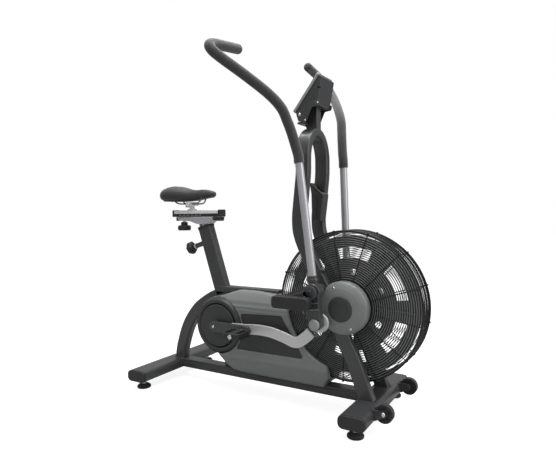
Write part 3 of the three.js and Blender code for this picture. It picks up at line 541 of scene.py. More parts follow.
def seat_tube():
    """Open-topped raked tube, its mouth collar and the boss for the height pin."""

    def rings(*places):
        return [level_ring(TUBE_LENGTH / 2 + grow, TUBE_HALF + grow, 9 + grow, height)
                for grow, height in places]

    inner = -TUBE_WALL
    tube = rings((0, -330), (0, -1), (-1, 0), (inner + 1, 0), (inner, -1), (inner, -60))
    piece("seat_tube", POWDER, [(tube, False)], MAIN, matrix=RAKE)
    collar = rings((0.2, -9), (1.8, -8), (1.8, 2), (0.8, 3), (inner, 3), (inner - 0.3, 2),
                   (inner - 0.3, -9))
    piece("tube_collar", MOULDED, [(collar, True)], matrix=RAKE)
    boss = [(6.3, TUBE_BACK + 1), (13, TUBE_BACK + 1), (13, TUBE_BACK - 14), (6.3, TUBE_BACK - 14)]
    piece("pin_boss", POWDER, [lathe(fillet(boss, 0.8, 3), "x", PIN, 40, loop=True)], matrix=RAKE)


def top_tube():
    along = box_slab(-24, 24, 434, 464, 8, "x", -60, 275, 3)
    down = box_slab(-24, 24, -18, 18, 6, "z", 85, 440, 1)
    piece("top_tube", POWDER, [along, down], MAIN)


def mast():
    """One bent tube: up the right side, over the arch and down the left side."""
    y = (MAST_INNER + MAST_OUTER) / 2
    thick = MAST_OUTER - MAST_INNER
    rise = [(p.x, p.y) for p in spline(MAST_LINE, 4)]
    top_x, spring = rise[-1]
    reach = ARCH_TOP - thick / 2 - spring
    over = [(top_x, -y * math.cos(a), spring + reach * math.sin(a))
            for a in (math.pi * k / 36 for k in range(1, 36))]
    path = [(x, -y, z) for x, z in rise] + over + [(x, y, z) for x, z in reversed(rise)]
    half, deep, seam = thick / 2, MAST_WIDTH / 2, 1.4
    outline = [(-deep, -half), (deep, -half), (deep, half), (10, half), (8.6, half - seam),
               (6.4, half - seam), (5, half), (-deep, half)]
    section = fillet(outline, [9, 9, 9, 0.5, 0.5, 0.5, 0.5, 9], 4)
    piece("mast", POWDER, [sweep(path, section, across=(1, 0, 0.0001))], MAIN)


def console_post():
    side = [(424, 1126), (466, 1126), (466, 1234), (432, 1234), (408, 1172)]
    post = slab(fillet(side, [4, 4, 2, 6, 6], 4), "y", -20, 20, 4, 4)
    piece("console_post", POWDER, [post, box_slab(417, 462, -28, 28, 7, "z", 1118, 1138, 3)], MAIN)


def bearings_and_axles():
    for name, side in SIDES:
        bearings = [
            disc(62, MAST_INNER + 6, MAST_OUTER - 6, "y", FAN, 64, 2),
            sweep([(480, 96, 572), (533, 96, 572)], circle(9, 24), domes=(0, 2)),
            disc(24, MAST_INNER + 10, 112, "y", PIVOT, 48, 2),
            disc(11, 112, 208, "y", PIVOT, 32, 1),
        ]
        piece(f"side_bearings_{name}", POWDER, bearings, MAIN, side=side)
        bolts = [bolt((PIVOT_X, 208, PIVOT_Z), "y", 12, 5), bolt((533, 96, 572), "x", 6, 4)]
        piece(f"side_bolts_{name}", MOULDED, bolts, slot="clamp_steel", side=side)


def welds():
    beads = []
    for y0, y1 in ((-MAST_OUTER, -MAST_INNER), (MAST_INNER, MAST_OUTER)):
        beads.append(weld(rounded_rect(672, 740, y0, y1, 8, 4), "z", 87))
    beads.append(weld(rounded_rect(-331, -269, -23, 23, 9, 4), "z", 89))
    for x in (-281, 657):
        beads.append(weld(rounded_rect(-28.5, 28.5, 48, 90.5, 9, 4), "x", x))
    piece("weld_beads", POWDER, beads)


def caps_and_feet():
    for end in ("rear", "front"):
        for name, side in SIDES:
            node = f"{end}_cap_{name}"
            low, high = span(f"{end}_cap_left", "y")
            section = bar_section(node)
            panel = slab(inset(section, 9), "y", high - 1, high + 0.6, 0.6)
            piece(node + "_cover", MOULDED, [slab(section, "y", low, high, 4, 5), panel], node, side=side)
            levelling_foot(end, name, side)


def levelling_foot(end, name, side):
    node = f"{end}_foot_{name}"
    x0, x1 = span(node, "x")
    y0, y1 = span(f"{end}_foot_left", "y")
    centre = ((x0 + x1) / 2, (y0 + y1) / 2)
    radius, top = (x1 - x0) / 2, span(node, "z")[1]
    pad = [(0, 0), (radius - 2, 0), (radius, 3), (radius, 9), (radius - 6, 15), (12, 17), (0, 17)]
    piece(node + "_pad", RUBBER, [lathe(fillet(pad, 1.4, 4, closed=False), "z", centre)], node,
          slot="foot_rubber", side=side)
    thread = [(6, 15)]
    height = 17.5
    while height < top - 1.6:
        thread += [(6, height), (7, height + 0.8)]
        height += 1.6
    stud = [lathe(thread + [(6, top)], "z", centre, 32), disc(11, 18, 23, "z", centre, 6, 0.8, 2)]
    piece(node + "_stud", PLATED, stud, side=side)


def transport_wheels():
    for name, side in SIDES:
        node = f"transport_wheel_{name}"
        axle = joint_at(f"{name}_wheel_roll")
        x, z = centre = (axle.x, axle.z)
        y0, y1 = span("transport_wheel_left", "y")
        low, high = span(node, "z")
        radius = (high - low) / 2
        tread = [(6.5, y0 + 1), (13, y0 + 1), (15, y0 + 3.5), (23, y0 + 3.5), (25, y0), (radius, y0),
                 (radius, y1), (25, y1), (23, y1 - 3.5), (15, y1 - 3.5), (13, y1 - 1), (6.5, y1 - 1)]
        tyre = lathe(fillet(tread, 1.6, 4), "y", centre, 72, loop=True)
        wheel = piece(node + "_tread", RUBBER, [tyre], node, f"{name}_wheel", "wheel_rubber", side)
        drill(wheel, [disc(3.2, y0 - 5, y1 + 5, "y", at, 16, 0.2) for at in arc(centre, 20, 18, 306, 4)],
              side)
        ear = fillet([(735, 50), (764, 52), (x + 4, 69), (x + 11, z + 1), (x + 2, 91), (766, 92), (735, 84)],
                     [2, 8, 8, 9, 8, 8, 2], 5)
        middle = (y0 + y1) / 2
        bracket = [slab(ear, "y", y - 2.2, y + 2.2, 0.8) for y in (middle - 16, middle + 16)]
        bracket.append(disc(6, y0 - 7, y1 + 7, "y", centre, 32, 0.6))
        piece(f"wheel_bracket_{name}", POWDER, bracket, MAIN, side=side)
        piece(f"wheel_bolt_{name}", PLATED, [bolt((x, y1 + 6, z), "y", 8, 4)], side=side)


# ---------------------------------------------------------------- drive cover

COVER_TOP = 455.0
COVER_SECTION = [(90, 61), (106, 73), (150, 85), (162, 91.5), (168, 93), (174, 92), (196, 88.5),
                 (368, 88.5), (376, 90.5), (384, 87), (392, 88.5), (400, 84.5), (415, 81), (436, 68),
                 (456, 52)]
COVER_EDGE = 7.0
COVER_FACE = 88.5
DRUM_RADIUS = 126.0
GUARD_RADIUS = 297.0
PANEL_RADIUS = 132.0


def quadratic(start, control, end, steps=8):
    """Points after the start of a curve that leaves towards control and arrives from it."""
    result = []
    for k in range(1, steps + 1):
        t = k / steps
        result.append(tuple(
            start[i] * (1 - t) ** 2 + control[i] * 2 * t * (1 - t) + end[i] * t * t for i in (0, 1)))
    return result


def cover_outline():
    """Side outline: round the drum, along the belly, and hollowed out round the fan guard."""
    line = arc(CRANK, DRUM_RADIUS, 90, 270, 28)
    line += quadratic(line[-1], (26, 116), (84, 99))
    line += quadratic(line[-1], (101, 94), (130, 94))
    line += fillet([(130, 94), (507, 94), (543, 152), (533, 186)], [0, 10, 10, 0], 4, closed=False)[1:]
    line += arc(FAN, 254, 252, 181, 24)
    line.append((349, 430))
    line += quadratic(line[-1], (330, 445), (282, 448))
    line += [(176, COVER_TOP), (90, COVER_TOP)]
    line += quadratic(line[-1], (40, 440), (0, CRANK_Z + DRUM_RADIUS))[:-1]
    return line


def along_table(table, key):
    """Value at a key, between the rows of a table of (key, value)."""
    for (k0, v0), (k1, v1) in zip(table, table[1:]):
        if key <= k1:
            return v0 + (v1 - v0) * (key - k0) / (k1 - k0)
    return table[-1][1]


def distance_to(outline, point):
    best = math.inf
    for a, b in zip(outline, outline[1:] + outline[:1]):
        ax, az = b[0] - a[0], b[1] - a[1]
        t = ((point[0] - a[0]) * ax + (point[1] - a[1]) * az) / (ax * ax + az * az)
        t = min(1.0, max(0.0, t))
        best = min(best, math.hypot(point[0] - a[0] - ax * t, point[1] - a[1] - az * t))
    return best


def cover_half(name, side):
    """A flat sheet cut to the outline, bent to the section and given thickness."""
    outline = cover_outline()
    bm = bmesh.new()
    steps = 5
    depths = [COVER_EDGE * (1 - math.cos(k / steps * math.pi / 2)) for k in range(steps + 1)]
    rows = [[bm.verts.new((x, 0, z)) for x, z in inset(outline, d)] for d in depths]
    for outer, inner in zip(rows, rows[1:]):
        for i in range(len(outer)):
            j = (i + 1) % len(outer)
            bm.faces.new((outer[i], outer[j], inner[j], inner[i]))
    bm.faces.new(rows[-1])
    for z, _ in COVER_SECTION[1:-1]:
        everything = bm.verts[:] + bm.edges[:] + bm.faces[:]
        bmesh.ops.bisect_plane(bm, geom=everything, plane_co=(0, 0, z), plane_no=(0, 0, 1), dist=0.01)
    for vert in bm.verts:
        depth = min(COVER_EDGE, distance_to(outline, (vert.co.x, vert.co.z)))
        drop = COVER_EDGE - math.sqrt(COVER_EDGE ** 2 - (COVER_EDGE - depth) ** 2)
        vert.co.y = along_table(COVER_SECTION, vert.co.z) - drop
    rim = [edge for edge in bm.edges if edge.is_boundary]
    wall = bmesh.ops.extrude_edge_only(bm, edges=rim)["geom"]
    for vert in (v for v in wall if isinstance(v, bmesh.types.BMVert)):
        near_fan = math.hypot(vert.co.x - FAN_X, vert.co.z - FAN_Z) < GUARD_RADIUS + 11
        vert.co.y = min(72, vert.co.y - 2) if near_fan and vert.co.z > 98 else 0.3
    bmesh.ops.solidify(bm, geom=bm.faces[:], thickness=3.0)
    shell = piece(f"cover_{name}", COVER, bm, f"drive_cover_{name}", side=side)
    drill(shell, [disc(DRUM_RADIUS + 1.2, 66, 130, "y", CRANK, 96, 0.5),
                  slab(inset(panel_outline(), -0.8), "y", COVER_FACE - 1.6, 130, 0.2)], side)


def panel_outline():
    """Slanted insert whose rear edge follows the drum."""
    round_drum = arc(CRANK, PANEL_RADIUS, 20, -39, 10)
    corners = [(100, 203), (434, 204), (328, 371), (127, 361)]
    return fillet(corners + round_drum, [4, 12, 12, 6] + [0] * len(round_drum), 5)


def side_panel(name, side):
    panel = slab(inset(panel_outline(), 0.4), "y", COVER_FACE - 1.2, COVER_FACE + 0.4, 0.7)
    piece(f"insert_{name}", INSERT, [panel], f"side_panel_{name}", side=side)
    path = [(x, COVER_FACE - 0.3, z) for x, z in inset(panel_outline(), -2.6)]
    bead = sweep(path, circle(2.3, 10), across=(0, 1, 0), loop=True)
    piece(f"insert_bead_{name}", COVER, [bead], side=side)


def crank_drum(name, side):
    profile = [(14, 74.6), (DRUM_RADIUS, 74.6), (DRUM_RADIUS, 87.5), (115, 100), (102, 100), (99, 97),
               (99, 79), (14, 79)]
    drum = lathe(fillet(profile, [0.5, 1, 2.5, 3, 2, 2, 1, 1], 5), "y", CRANK, 128, loop=True)
    piece(f"drum_{name}", TRIM, [drum], f"crank_ring_{name}", slot="ring_plastic", side=side)


def drive_cover():
    for name, side in SIDES:
        cover_half(name, side)
        side_panel(name, side)
        crank_drum(name, side)


# ---------------------------------------------------------------- fan guard and hub

GUARD_SIDE = [(112, 63.5), (190, 62.5), (260, 58), (GUARD_RADIUS, 50)]
WIRE_RADIUS = 1.6
RING_WIRES = 22
SPOKES, FIRST_SPOKE = 13, 17.5
SPOKE_ANGLES = [math.radians(FIRST_SPOKE + 360 / SPOKES * k) for k in range(SPOKES)]


def hoop(radius, y, wire):
    """A wire ring about the fan axis."""
    path = [(FAN_X + x, y, FAN_Z + z) for x, z in circle(radius, 96)]
    return sweep(path, circle(wire, 8), across=(0, 1, 0), loop=True)


def guard_grille(name, side):
    """Ring wires on a shallow dish, and dark spokes over them with a rounded knuckle at the rim."""
    inner, outer = GUARD_SIDE[0][0], GUARD_RADIUS - 5
    radii = [inner + (outer - inner) * k / (RING_WIRES - 1) for k in range(RING_WIRES)]
    rings = [hoop(r, along_table(GUARD_SIDE, r), WIRE_RADIUS) for r in radii]
    piece(f"grille_rings_{name}", WIRE, rings, f"fan_guard_{name}", side=side)
    spokes = [hoop(GUARD_RADIUS, GUARD_SIDE[-1][1], 4.2), hoop(106, 63, 2.4)]
    for angle in SPOKE_ANGLES:
        path = [(FAN_X + r * math.cos(angle), along_table(GUARD_SIDE, r) + WIRE_RADIUS + 0.6,
                 FAN_Z + r * math.sin(angle)) for r in (104, 130, 160, 190, 225, 260, 280, GUARD_RADIUS)]
        tip = Vector(path[-1]) + Vector((math.cos(angle), 0, math.sin(angle))) * 3
        knuckle = [tip + Vector((0, -6, 0)), tip + Vector((0, 5, 0))]
        spokes += [sweep(path, circle(2.2, 8), domes=(0, 2)), sweep(knuckle, circle(3.4, 10), domes=(3, 3))]
    piece(f"grille_spokes_{name}", DARK_WIRE, spokes, f"fan_guard_{name}", side=side)


def guard_rim():
    """Hoops and cross bars between the two grilles."""
    wires = [hoop(GUARD_RADIUS - 2, y, 2.1) for y in (-36, -18, 0, 18, 36)]
    for angle in SPOKE_ANGLES:
        x, z = FAN_X + (GUARD_RADIUS - 5) * math.cos(angle), FAN_Z + (GUARD_RADIUS - 5) * math.sin(angle)
        wires.append(sweep([(x, -49, z), (x, 49, z)], circle(1.8, 8)))
    piece("rim_wires", DARK_WIRE, wires, "fan_guard_rim")


BELL = [(104.5, 73), (104.5, 98), (101, 106), (92, 112.5), (78, 118), (62, 121.5), (50, 122.5)]


def hub_cover(name, side):
    back = [(r - 2.6, y - 2.6) for r, y in reversed(BELL[1:])] + [(BELL[0][0] - 3, BELL[0][1])]
    shell = fillet(BELL + back, [0.8, 3, 9, 20, 20, 20, 1] + [1] * len(back), 5)
    piece(f"bell_{name}", COVER, [lathe(shell, "y", FAN, 128, loop=True)], f"hub_bell_{name}",
          slot="bell_plastic", side=side)
    face = fillet([(0, 108), (46, 108), (49.3, 112), (49.3, 123.5), (46, 126), (34, 127.2), (31, 127.2),
                   (30, 126.4), (28, 126.4), (27, 127.4), (0, 128)], 1.2, 4, closed=False)
    piece(f"hub_face_{name}", TRIM, [lathe(face, "y", FAN, 96)], f"hub_disc_{name}",
          slot="disc_plastic", side=side)
    places = [arc(FAN, 84, angle, angle + 1, 1)[0] for angle in (110, -62)]
    screws = [bolt((x, 114.6, z), "y", 5.5, 3) for x, z in places]
    piece(f"bell_screws_{name}", PLATED, screws, side=side)


def fan_guard():
    for name, side in SIDES:
        guard_grille(name, side)
        hub_cover(name, side)
    guard_rim()


# ---------------------------------------------------------------- fan and belt

FAN_RADIUS = 278.0
FAN_DEPTH = 27.0
WINDOWS, FIRST_WINDOW, WINDOW_HALF = 6, 27.0, 18.5
WINDOW_MIDDLES = [FIRST_WINDOW + k * 360 / WINDOWS for k in range(WINDOWS)]


def belt_pulley(bore, radius):
    """Flanged pulley profile that the belt runs in."""
    return [(bore, -47), (radius, -47), (radius, -45.5), (radius - 3, -44), (radius - 3, -35),
            (radius, -33.5), (radius, -32), (bore, -32)]


def fan_plate():
    plate = piece("fan_plate", FAN_PAINT, [disc(FAN_RADIUS, -2, 2, "y", FAN, 128)], "fan", "fan_rotor")
    openings = []
    for middle in WINDOW_MIDDLES:
        low, high = middle - WINDOW_HALF, middle + WINDOW_HALF
        window = fillet(arc(FAN, 232, low, high, 12) + arc(FAN, 187, high, low, 12),
                        ([7] + [0] * 11 + [7]) * 2, 5)
        hole = arc(FAN, 132, middle, middle + 1, 1)[0]
        openings += [slab(window, "y", -9, 9, 0.2), disc(14, -9, 9, "y", hole, 32, 0.2)]
    drill(plate, openings)


def fan_vanes():
    """Blades with gussets, rim wires, hub, shaft and pulley."""
    parts = []
    for middle in WINDOW_MIDDLES:
        turn = math.radians(middle + 180 / WINDOWS)
        along, across = Vector((math.cos(turn), math.sin(turn))), Vector((-math.sin(turn), math.cos(turn)))

        def plate(corners, half, along=along, across=across):
            flat = [tuple(Vector(FAN) + along * a + across * b) for a, b in corners]
            return slab(flat, "y", -half, half, 0.6)

        parts.append(plate([(42, -1.5), (FAN_RADIUS - 6, -1.5), (FAN_RADIUS - 6, 1.5), (42, 1.5)], FAN_DEPTH))
        parts += [plate([(118, s * 2), (150, s * 2), (118, s * 16)], 14) for s in (-1, 1)]
    parts += [hoop(FAN_RADIUS - 6, y, 2.4) for y in (-FAN_DEPTH + 2, FAN_DEPTH - 2)]
    parts += [disc(46, -24, 24, "y", FAN, 64, 3), disc(8, -104, 104, "y", FAN, 32, 1)]
    parts.append(lathe(belt_pulley(6, 33), "y", FAN, loop=True))
    piece("fan_vanes", FAN_PAINT, parts, "fan", "fan_rotor")


def belt_line(grow):
    r0, r1 = 104 + grow, 30 + grow
    rise = Vector((FAN_X, FAN_Z - CRANK_Z))
    tilt = math.degrees(math.atan2(rise.y, rise.x))
    wrap = math.degrees(math.acos((r0 - r1) / rise.length))
    return (arc(CRANK, r0, tilt + wrap, tilt - wrap + 360, 48)
            + arc(FAN, r1, tilt - wrap, tilt + wrap, 20))


def belt_drive():
    ribs = [(1.5, -5.2), (1.5, 5.2)]
    for k in range(5):
        y = 4.4 - 2.2 * k
        ribs += [(-1.5, y + 0.4), (-1.5, y - 0.4), (-0.4, y - 1.1)]
    path = [(x, -39.5, z) for x, z in belt_line(2.4)]
    piece("belt", RUBBER, [sweep(path, ribs[:-1], across=(0.001, 1, 0), loop=True)], "drive_belt",
          slot="belt_rubber")
    rim = [p for p in belt_line(10.5) if p[0] > 352]
    upper = [p for p in rim if p[1] > FAN_Z]
    lower = [p for p in rim if p[1] <= FAN_Z]
    tunnel = slab(sorted(lower) + sorted(upper, reverse=True), "y", -50, -48, 0.6)
    piece("belt_tunnel", MOULDED, [tunnel], "belt_guard", slot="guard_plastic")


# ---------------------------------------------------------------- crank and pedals

CRANK_REACH = 172.0
ARM_INNER, ARM_OUTER = 115.0, 131.0
PEDAL_INNER, PEDAL_OUTER = 147.0, 241.0
SPINDLE = (CRANK_REACH, 0)


def crank_place(side):
    """The arms are opposed: the right one points forward, the left one back."""
    turn = 0 if side < 0 else math.pi
    return Matrix.Translation((0, 0, CRANK_Z)) @ Matrix.Rotation(turn, 4, "Y")


def crank_discs():
    parts = [disc(10, -100, 100, "y", CRANK, 32, 1), lathe(belt_pulley(8, 107), "y", CRANK, 96, loop=True)]
    face = [(0, 95), (94.5, 95), (94.5, 101.5), (92.5, 103.2), (86, 103.2), (84.6, 102.2),
            (82, 102.2), (80.6, 103.2), (0, 103.6)]
    for side in (-1, 1):
        parts.append(lathe([(r, side * y) for r, y in face], "y", CRANK, 96))
    piece("crank_discs", TRIM, parts, "crank_drive", "crank", "drive_paint")


def crank_arm(name, side):
    node, at = f"crank_arm_{name}", crank_place(side)
    bar = [
        slab(arc((0, 0), 23, 90, 270, 20) + arc(SPINDLE, 21, -90, 90, 20), "y", ARM_INNER, ARM_OUTER, 3.2, 4),
        disc(22, 103.6, ARM_INNER + 3, "y", (0, 0), 48, 1),
        disc(17, ARM_OUTER - 2, ARM_OUTER + 4, "y", SPINDLE, 48, 1.4),
        disc(12, ARM_OUTER + 1, PEDAL_INNER - 2, "y", SPINDLE, 40, 1),
    ]
    piece(node + "_bar", POWDER, bar, node, "crank", "crank_paint", side, at)
    steel = [
        bolt((0, ARM_OUTER - 0.4, 0), "y", 6.5, 3.2),
        disc(7, ARM_INNER + 1, PEDAL_OUTER + 1, "y", SPINDLE, 32, 1),
        bolt((CRANK_REACH, PEDAL_OUTER + 0.6, 0), "y", 10, 2.4),
    ]
    piece(node + "_steel", PLATED, steel, body="crank", side=side, matrix=at)


def pedal(name, side):
    """Caged platform: rounded rails, cross ribs, a barrel and rows of raised grips."""
    inner, outer, half, height = PEDAL_INNER, PEDAL_OUTER, 41, 13
    node, body, at = f"pedal_{name}", f"{name}_pedal", crank_place(side)
    block = box_slab(CRANK_REACH - half, CRANK_REACH + half, inner, outer, 14, "z", -height, height, 3, 4)
    cage = piece(node + "_body", MOULDED, [block], node, body, "pedal_plastic", side, at)
    openings = []
    for s in (-1, 1):
        x, edge = CRANK_REACH + s * 25, CRANK_REACH + s * half
        openings.append(box_slab(x - 9, x + 9, inner + 16, outer - 14, 5, "z", -40, 40, 0.2))
        openings += [box_slab(edge - 2, edge + 2, z - 2.6, z + 2.6, 1, "y", inner + 20, outer - 20, 0.2)
                     for z in (-6.5, 6.5)]
    openings.append(disc(7.6, inner - 9, outer + 9, "y", SPINDLE, 40, 0.2))
    drill(cage, openings, side, at)
    parts = []
    for s in (-1, 1):
        x = CRANK_REACH + s * 37
        for z in (-height - 0.2, height + 0.2):
            for k in range(9):
                y = inner + 12 + k * 8.8
                plan = rounded_rect(x - 3, x + 2, y - 2, y + 2, 0.8, 2)
                parts.append(slab(plan, "z", z - 1.2, z + 1.2, 0.6))
    barrel = [(7.6, inner - 0.5), (15, inner), (15, inner + 14), (13, inner + 18), (13, outer - 18),
              (15, outer - 14), (15, outer), (7.6, outer)]
    parts.append(lathe(fillet(barrel, 1.2, 3), "y", SPINDLE, 48, loop=True))
    piece(node + "_barrel", MOULDED, parts, node, body, "pedal_plastic", side, at)


def crank_and_pedals():
    crank_discs()
    for name, side in SIDES:
        crank_arm(name, side)
        pedal(name, side)


# ---------------------------------------------------------------- levers, links and footrests

HANDLE_LINE = [
    (0, 163, 500), (0, 163, 530), (-4, 168, 565), (-9, 178, 615), (-15, 192, 662), (-24, 211, 712),
    (-50, 250, 765), (-98, 322, 832), (-143, 384, 888), (-168, 411, 921), (-183, 407, 947),
    (-188, 375, 963), (-188, 320, 973), (-186, 265, 981), (-185, 219, 988),
]
LINK_LINE = [
    (-442, -78.4), (-384, -76), (-325, -72), (-244, -71), (-172, -81), (-110, -92), (-61, -64),
    (0, 0),
]
LINK_REAR, LINK_FRONT, LINK_BEND = 109.0, 149.0, (-306, -70)


def lever_place(pin):
    """The lever's lean follows from where its pivot and its lower pin stand."""
    lean = math.atan2(PIVOT_X - pin.x, PIVOT_Z - pin.z)
    return Matrix.Translation((PIVOT_X, 0, PIVOT_Z)) @ Matrix.Rotation(lean, 4, "Y")


def lever(name, side):
    """Drawn upright, with its pivot at the origin and its lower pin straight below."""
    rides = {"body": f"{name}_lever", "side": side, "matrix": lever_place(joint_at(f"{name}_link_swing"))}
    up, pin = (0, LEVER_Y), (0, -LOWER_ARM)
    hub = [(11.5, 140), (31, 140), (34, 143), (34, 187), (31, 190), (26, 190), (25, 188), (22, 188),
           (21, 190), (11.5, 190)]
    arm = [(29, -6), (-29, -6)] + arc(pin, 24, 180, 360, 18)
    base = [lathe(fillet(hub, 1.0, 3), "y", (0, 0), loop=True), disc(20, 20, 62, "z", up, 48, 2),
            disc(23.5, 38, 51, "z", up, 48, 2.4), slab(arm, "y", 160, 192, 3, 4)]
    piece(f"lever_base_{name}", POWDER, base, f"lever_hub_{name}", slot="lever_paint", **rides)
    # Painted shade: a black sheet across the lower arm stands for the shadow inside a recess, with a black
    # disc on the hub face.
    window = [box_slab(-14, 22, -62, -44, 2, "y", 191.0, 192.6, 0.4),
              disc(17, 189, 190.6, "y", (0, 0), 48, 0.4)]
    piece(f"lever_arm_painted_shade_{name}", MOULDED, window, **rides)
    ribs = [box_slab(-26, 24, z - 1.6, z + 1.6, 1, "y", 191.2, 193.4, 0.6) for z in (-65, -41)]
    piece(f"lever_ribs_{name}", COVER, ribs, slot="lever_paint", **rides)
    piece(f"lever_pins_{name}", PLATED, [disc(10, 140, 166, "y", pin, 40, 1)], **rides)
    cap = [(0, 192), (20.5, 192.4), (21.5, 195), (21.5, 200.5), (18.5, 204), (12, 205.2), (0, 205.6)]
    piece(f"lever_end_{name}", BEZEL, [lathe(fillet(cap, 2, 4, closed=False), "y", pin)],
          f"lever_cap_{name}", slot="lever_cap_plastic", **rides)
    piece(f"upright_{name}", SILVER_PAINT, [disc(16, 44, 508, "z", up, 64, 1)], f"lever_tube_{name}",
          slot="lever_steel", **rides)
    grip = sweep(spline(HANDLE_LINE, 8), circle(20, 40), domes=(3, 17))
    piece(f"grip_{name}", FOAM, [grip], f"lever_grip_{name}", **rides)


def link_y(x):
    low, high = LINK_BEND
    t = min(1.0, max(0.0, (x - low) / (high - low)))
    return LINK_REAR + (LINK_FRONT - LINK_REAR) * t


def link(name, side):
    """Drawn from its front pin, back to the eye that would turn on the crank."""
    pin = joint_at(f"{name}_link_swing")
    path = [(p.x, link_y(p.x), p.y) for p in spline(LINK_LINE, 8)[:-5]]
    eye = [(10.6, LINK_FRONT - 6), (38, LINK_FRONT - 6), (38, LINK_FRONT + 6), (10.6, LINK_FRONT + 6)]
    bar = [
        sweep(path, rounded_rect(-4.5, 4.5, -22, 22, 2.6, 4), across=(0, 1, 0)),
        disc(20.5, LINK_REAR - 4.8, LINK_REAR + 4.8, "y", LINK_LINE[0], 48, 2),
        lathe(fillet(eye, [0.8, 3, 3, 0.8], 4), "y", (0, 0), 80, loop=True),
    ]
    node = f"lever_link_{name}"
    piece(node + "_bar", SATIN_STEEL, bar, node, f"{name}_link", side=side,
          matrix=Matrix.Translation((pin.x, 0, pin.z)))


def footrest(name, side):
    pad = [box_slab(373, 531, 436, 484, 16, "y", 206, 246, 5, 5)]
    for x in range(394, 509, 19):
        pad.append(slab(rounded_rect(x - 4, x + 4, 214, 238, 3, 3), "z", 482, 485.4, 1))
    piece(f"foot_pad_{name}", MOULDED, pad, f"footrest_{name}", slot="footrest_plastic", side=side)
    carrier = ribbon([PIVOT, (470, 480), (430, 464)], 28)
    collar = [(11.6, 192.6), (27, 192.6), (27, 208), (11.6, 208)]
    bracket = [slab(fillet(carrier, 6, 3), "y", 194, 208, 3),
               lathe(fillet(collar, 1.6, 4), "y", PIVOT, 48, loop=True)]
    piece(f"foot_bracket_{name}", POWDER, bracket, f"footrest_{name}", side=side)
    bolts = [bolt((444, 226, 436.4), "z", 8, 4, facing=-1)]
    bolts += [bolt((x, 207.4, z), "y", 4, 3) for x, z in ((480, 474), (498, 481))]
    piece(f"foot_bolt_{name}", PLATED, bolts, side=side)


def levers():
    for name, side in SIDES:
        lever(name, side)
        link(name, side)
        footrest(name, side)


# ---------------------------------------------------------------- seat

RAIL_X0, RAIL_X1, RAIL_Z0, RAIL_Z1, RAIL_HALF = -332.0, -35.0, 786.0, 818.0, 20.0
SADDLE_X = -222.0
KNOB_X = -273.0


def seat_post():
    def ring(height, shrink=0.0):
        gap = TUBE_WALL + 1 + shrink
        return level_ring(TUBE_LENGTH / 2 - gap, TUBE_HALF - gap, 5, height)

    tube = [ring(-262, 1), ring(-261), ring(16), ring(22, 1)]
    post = piece("post", SILVER_PAINT, [(tube, False)], "seat_post", "seat_column", "post_steel", matrix=RAKE)
    holes = [disc(6, -40, -16, "x", (0, 2 - PIN_DOWN - 24 * k), 24, 0.2) for k in range(7)]
    holes.append(box_slab(-21, -11, -40, 14, 4.5, "y", -24, 24, 0.2))
    drill(post, holes, matrix=RAKE)
    wedge = [(-300, 785.6), (-300, 779), (-292, 770), (-222, 765), (-178, 752), (-104, 752),
             (-88, 766), (-78, 768), (-78, 785.6)]
    carriage = [slab(fillet(wedge, [1, 5, 10, 60, 30, 10, 6, 3, 1], 6), "y", -22, 22, 3, 4)]
    carriage += [box_slab(-290, -90, 776, 783, 2, "y", y - 2.2, y + 2.2, 1) for y in (-20.5, 20.5)]
    piece("carriage", SILVER_PAINT, carriage, "seat_post", "seat_column", "post_steel")
    ends = []
    for x0, x1 in ((-307, -298), (-80, -42)):
        block = [(x0, 785.4), (x0 + 3, 770), (x1 - 5, 766), (x1, 785.4)]
        ends.append(slab(fillet(block, 3, 4), "y", -23.4, 23.4, 2.4))
    piece("carriage_ends", MOULDED, ends, body="seat_column")


def seat_rail():
    half, low, high = RAIL_HALF, RAIL_Z0, RAIL_Z1
    side = [(half - 3, low), (half - 1.4, low + 0.8), (half - 1.4, low + 15.4), (half, low + 16),
            (half, high - 2), (half - 3, high), (half - 12, high), (half - 13, high - 1.6)]
    rail = slab(fillet(mirrored(side), 0.8, 3), "x", RAIL_X0 + 9, RAIL_X1 - 9, 0.4)
    piece("rail", BRUSHED, [rail], "slider_rail", "seat_slider", "rail_aluminium")
    strips, marks = [], []
    for s in (-1, 1):
        y0, y1 = sorted((s * (half - 1.6), s * (half - 0.5)))
        strips.append(box_slab(RAIL_X0 + 11, RAIL_X1 - 11, low + 0.8, low + 15.6, 1, "y", y0, y1, 0.2))
        y0, y1 = sorted((s * (half - 0.6), s * (half - 0.1)))
        for k in range(11):
            x, tall = 12.5 * k - 282, (8, 4)[k % 2]
            outline = rounded_rect(x - 0.9, x + 0.9, low + 4, low + 4 + tall, 0.4, 2)
            marks.append(slab(outline, "y", y0, y1, 0.1))
    piece("rail_strip", MOULDED, strips, body="seat_slider")
    piece("rail_marks", MARKS, marks, body="seat_slider")
    for name, x0, x1 in (("rear", RAIL_X0, RAIL_X0 + 10), ("front", RAIL_X1 - 16, RAIL_X1)):
        end = box_slab(-half - 2, half + 2, low, high + 2, 6, "x", x0, x1, 2.6, 4)
        piece(f"rail_end_{name}", MOULDED, [end], f"rail_cap_{name}", "seat_slider")


